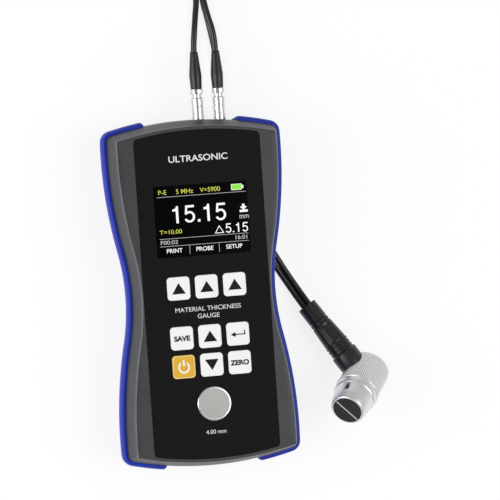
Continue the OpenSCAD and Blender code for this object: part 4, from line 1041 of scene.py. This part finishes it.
def camera():
    """Camera over the front face, to the left of upright, towards the cable end and rolled.

    The line of sight is turned so that the aim is seen at its pixel. The lens gives the scale there.
    """
    a, b, roll = math.radians(CAMERA_SIDE), math.radians(CAMERA_LEAN), math.radians(CAMERA_ROLL)
    look = np.array([-math.sin(a) * math.cos(b), math.sin(b), math.cos(a) * math.cos(b)])
    right = np.cross(Y, look)
    right /= np.linalg.norm(right)
    up = np.cross(look, right)
    right, up = right * math.cos(roll) + up * math.sin(roll), -right * math.sin(roll) + up * math.cos(roll)
    eye = AIM + CAMERA_AWAY * look
    middle = FRAME_PIXELS / 2
    focal = PIXELS_PER_MM * CAMERA_AWAY
    forward = -look * focal + right * (middle - AIM_PIXEL[0]) + up * (AIM_PIXEL[1] - middle)
    pixels = np.linalg.norm(forward)
    forward /= pixels
    right = right - forward * right.dot(forward)
    right /= np.linalg.norm(right)
    up = np.cross(right, forward)
    cam = bpy.data.cameras.new("photo_camera")
    cam.sensor_fit, cam.sensor_width, cam.lens = "HORIZONTAL", SENSOR_W, pixels / FRAME_PIXELS * SENSOR_W
    cam.clip_start, cam.clip_end = 0.05, 20.0
    bpy.context.scene.camera = stand("photo_camera", cam, right, up, -forward, eye * MM)


def lamp(name, at, size, watts):
    """Round lamp that looks at the origin."""
    light = bpy.data.lights.new(name, "AREA")
    light.shape, light.size, light.energy = "DISK", size, watts
    z = np.array(at, float)
    z /= np.linalg.norm(z)
    x = np.cross([0, 1.0, 0.001], z)
    x /= np.linalg.norm(x)
    stand(name, light, x, np.cross(z, x), z, at)


def floor():
    """Pale floor that reads white to the camera and in reflections, and keeps a soft shadow."""
    half, z = 3.0, -0.0002
    white_share, white_level = 0.78, 1.06
    mesh = bpy.data.meshes.new("floor")
    corners = [(-half, -half, z), (half, -half, z), (half, half, z), (-half, half, z)]
    mesh.from_pydata(corners, [], [(0, 1, 2, 3)])
    o = bpy.data.objects.new("floor", mesh)
    bpy.context.scene.collection.objects.link(o)
    f = Finish("floor_paper", Base_Color=(0.86, 0.86, 0.86, 1), Roughness=0.9, Specular_IOR_Level=0.0)
    camera_ray = f.node("LightPath", out="Is Camera Ray")
    seen = camera_ray + camera_ray.beside("Is Glossy Ray") + camera_ray.beside("Is Transmission Ray")
    glow = f.node("Emission", {}, {"Color": (1, 1, 1, 1), "Strength": white_level})
    mix = f.node("MixShader", {}, [seen * white_share, Field(f, f.shader.outputs[0]), glow])
    f.tree.links.new(mix.socket, f.tree.nodes["Material Output"].inputs["Surface"])
    mesh.materials.append(f.mat)


def sky():
    """White surroundings that fade by a smooth step of height, to a darker patch overhead."""
    world = bpy.data.worlds.new("studio")
    world.use_nodes = True
    g = Graph(world.node_tree)
    height = g.node("SeparateXYZ", {}, [g.node("TexCoord", out="Generated")], out="Z")
    overhead = {"Value": height, "From Min": 0.75, "From Max": 0.98, "To Min": 0.47, "To Max": 0.28}
    level = g.node("MapRange", {"interpolation_type": "SMOOTHSTEP"}, overhead)
    background = g.tree.nodes["Background"]
    background.inputs["Color"].default_value = (1, 1, 1, 1)
    g.tree.links.new(level.socket, background.inputs["Strength"])
    bpy.context.scene.world = world


camera()
floor()
sky()
lamp("key_lamp", (-1.3, -0.05, 0.8), 1.1, 13.0)
lamp("fill_lamp", (0.8, -0.1, 1.2), 1.0, 7.2)
bpy.context.scene.view_settings.view_transform = "Standard"
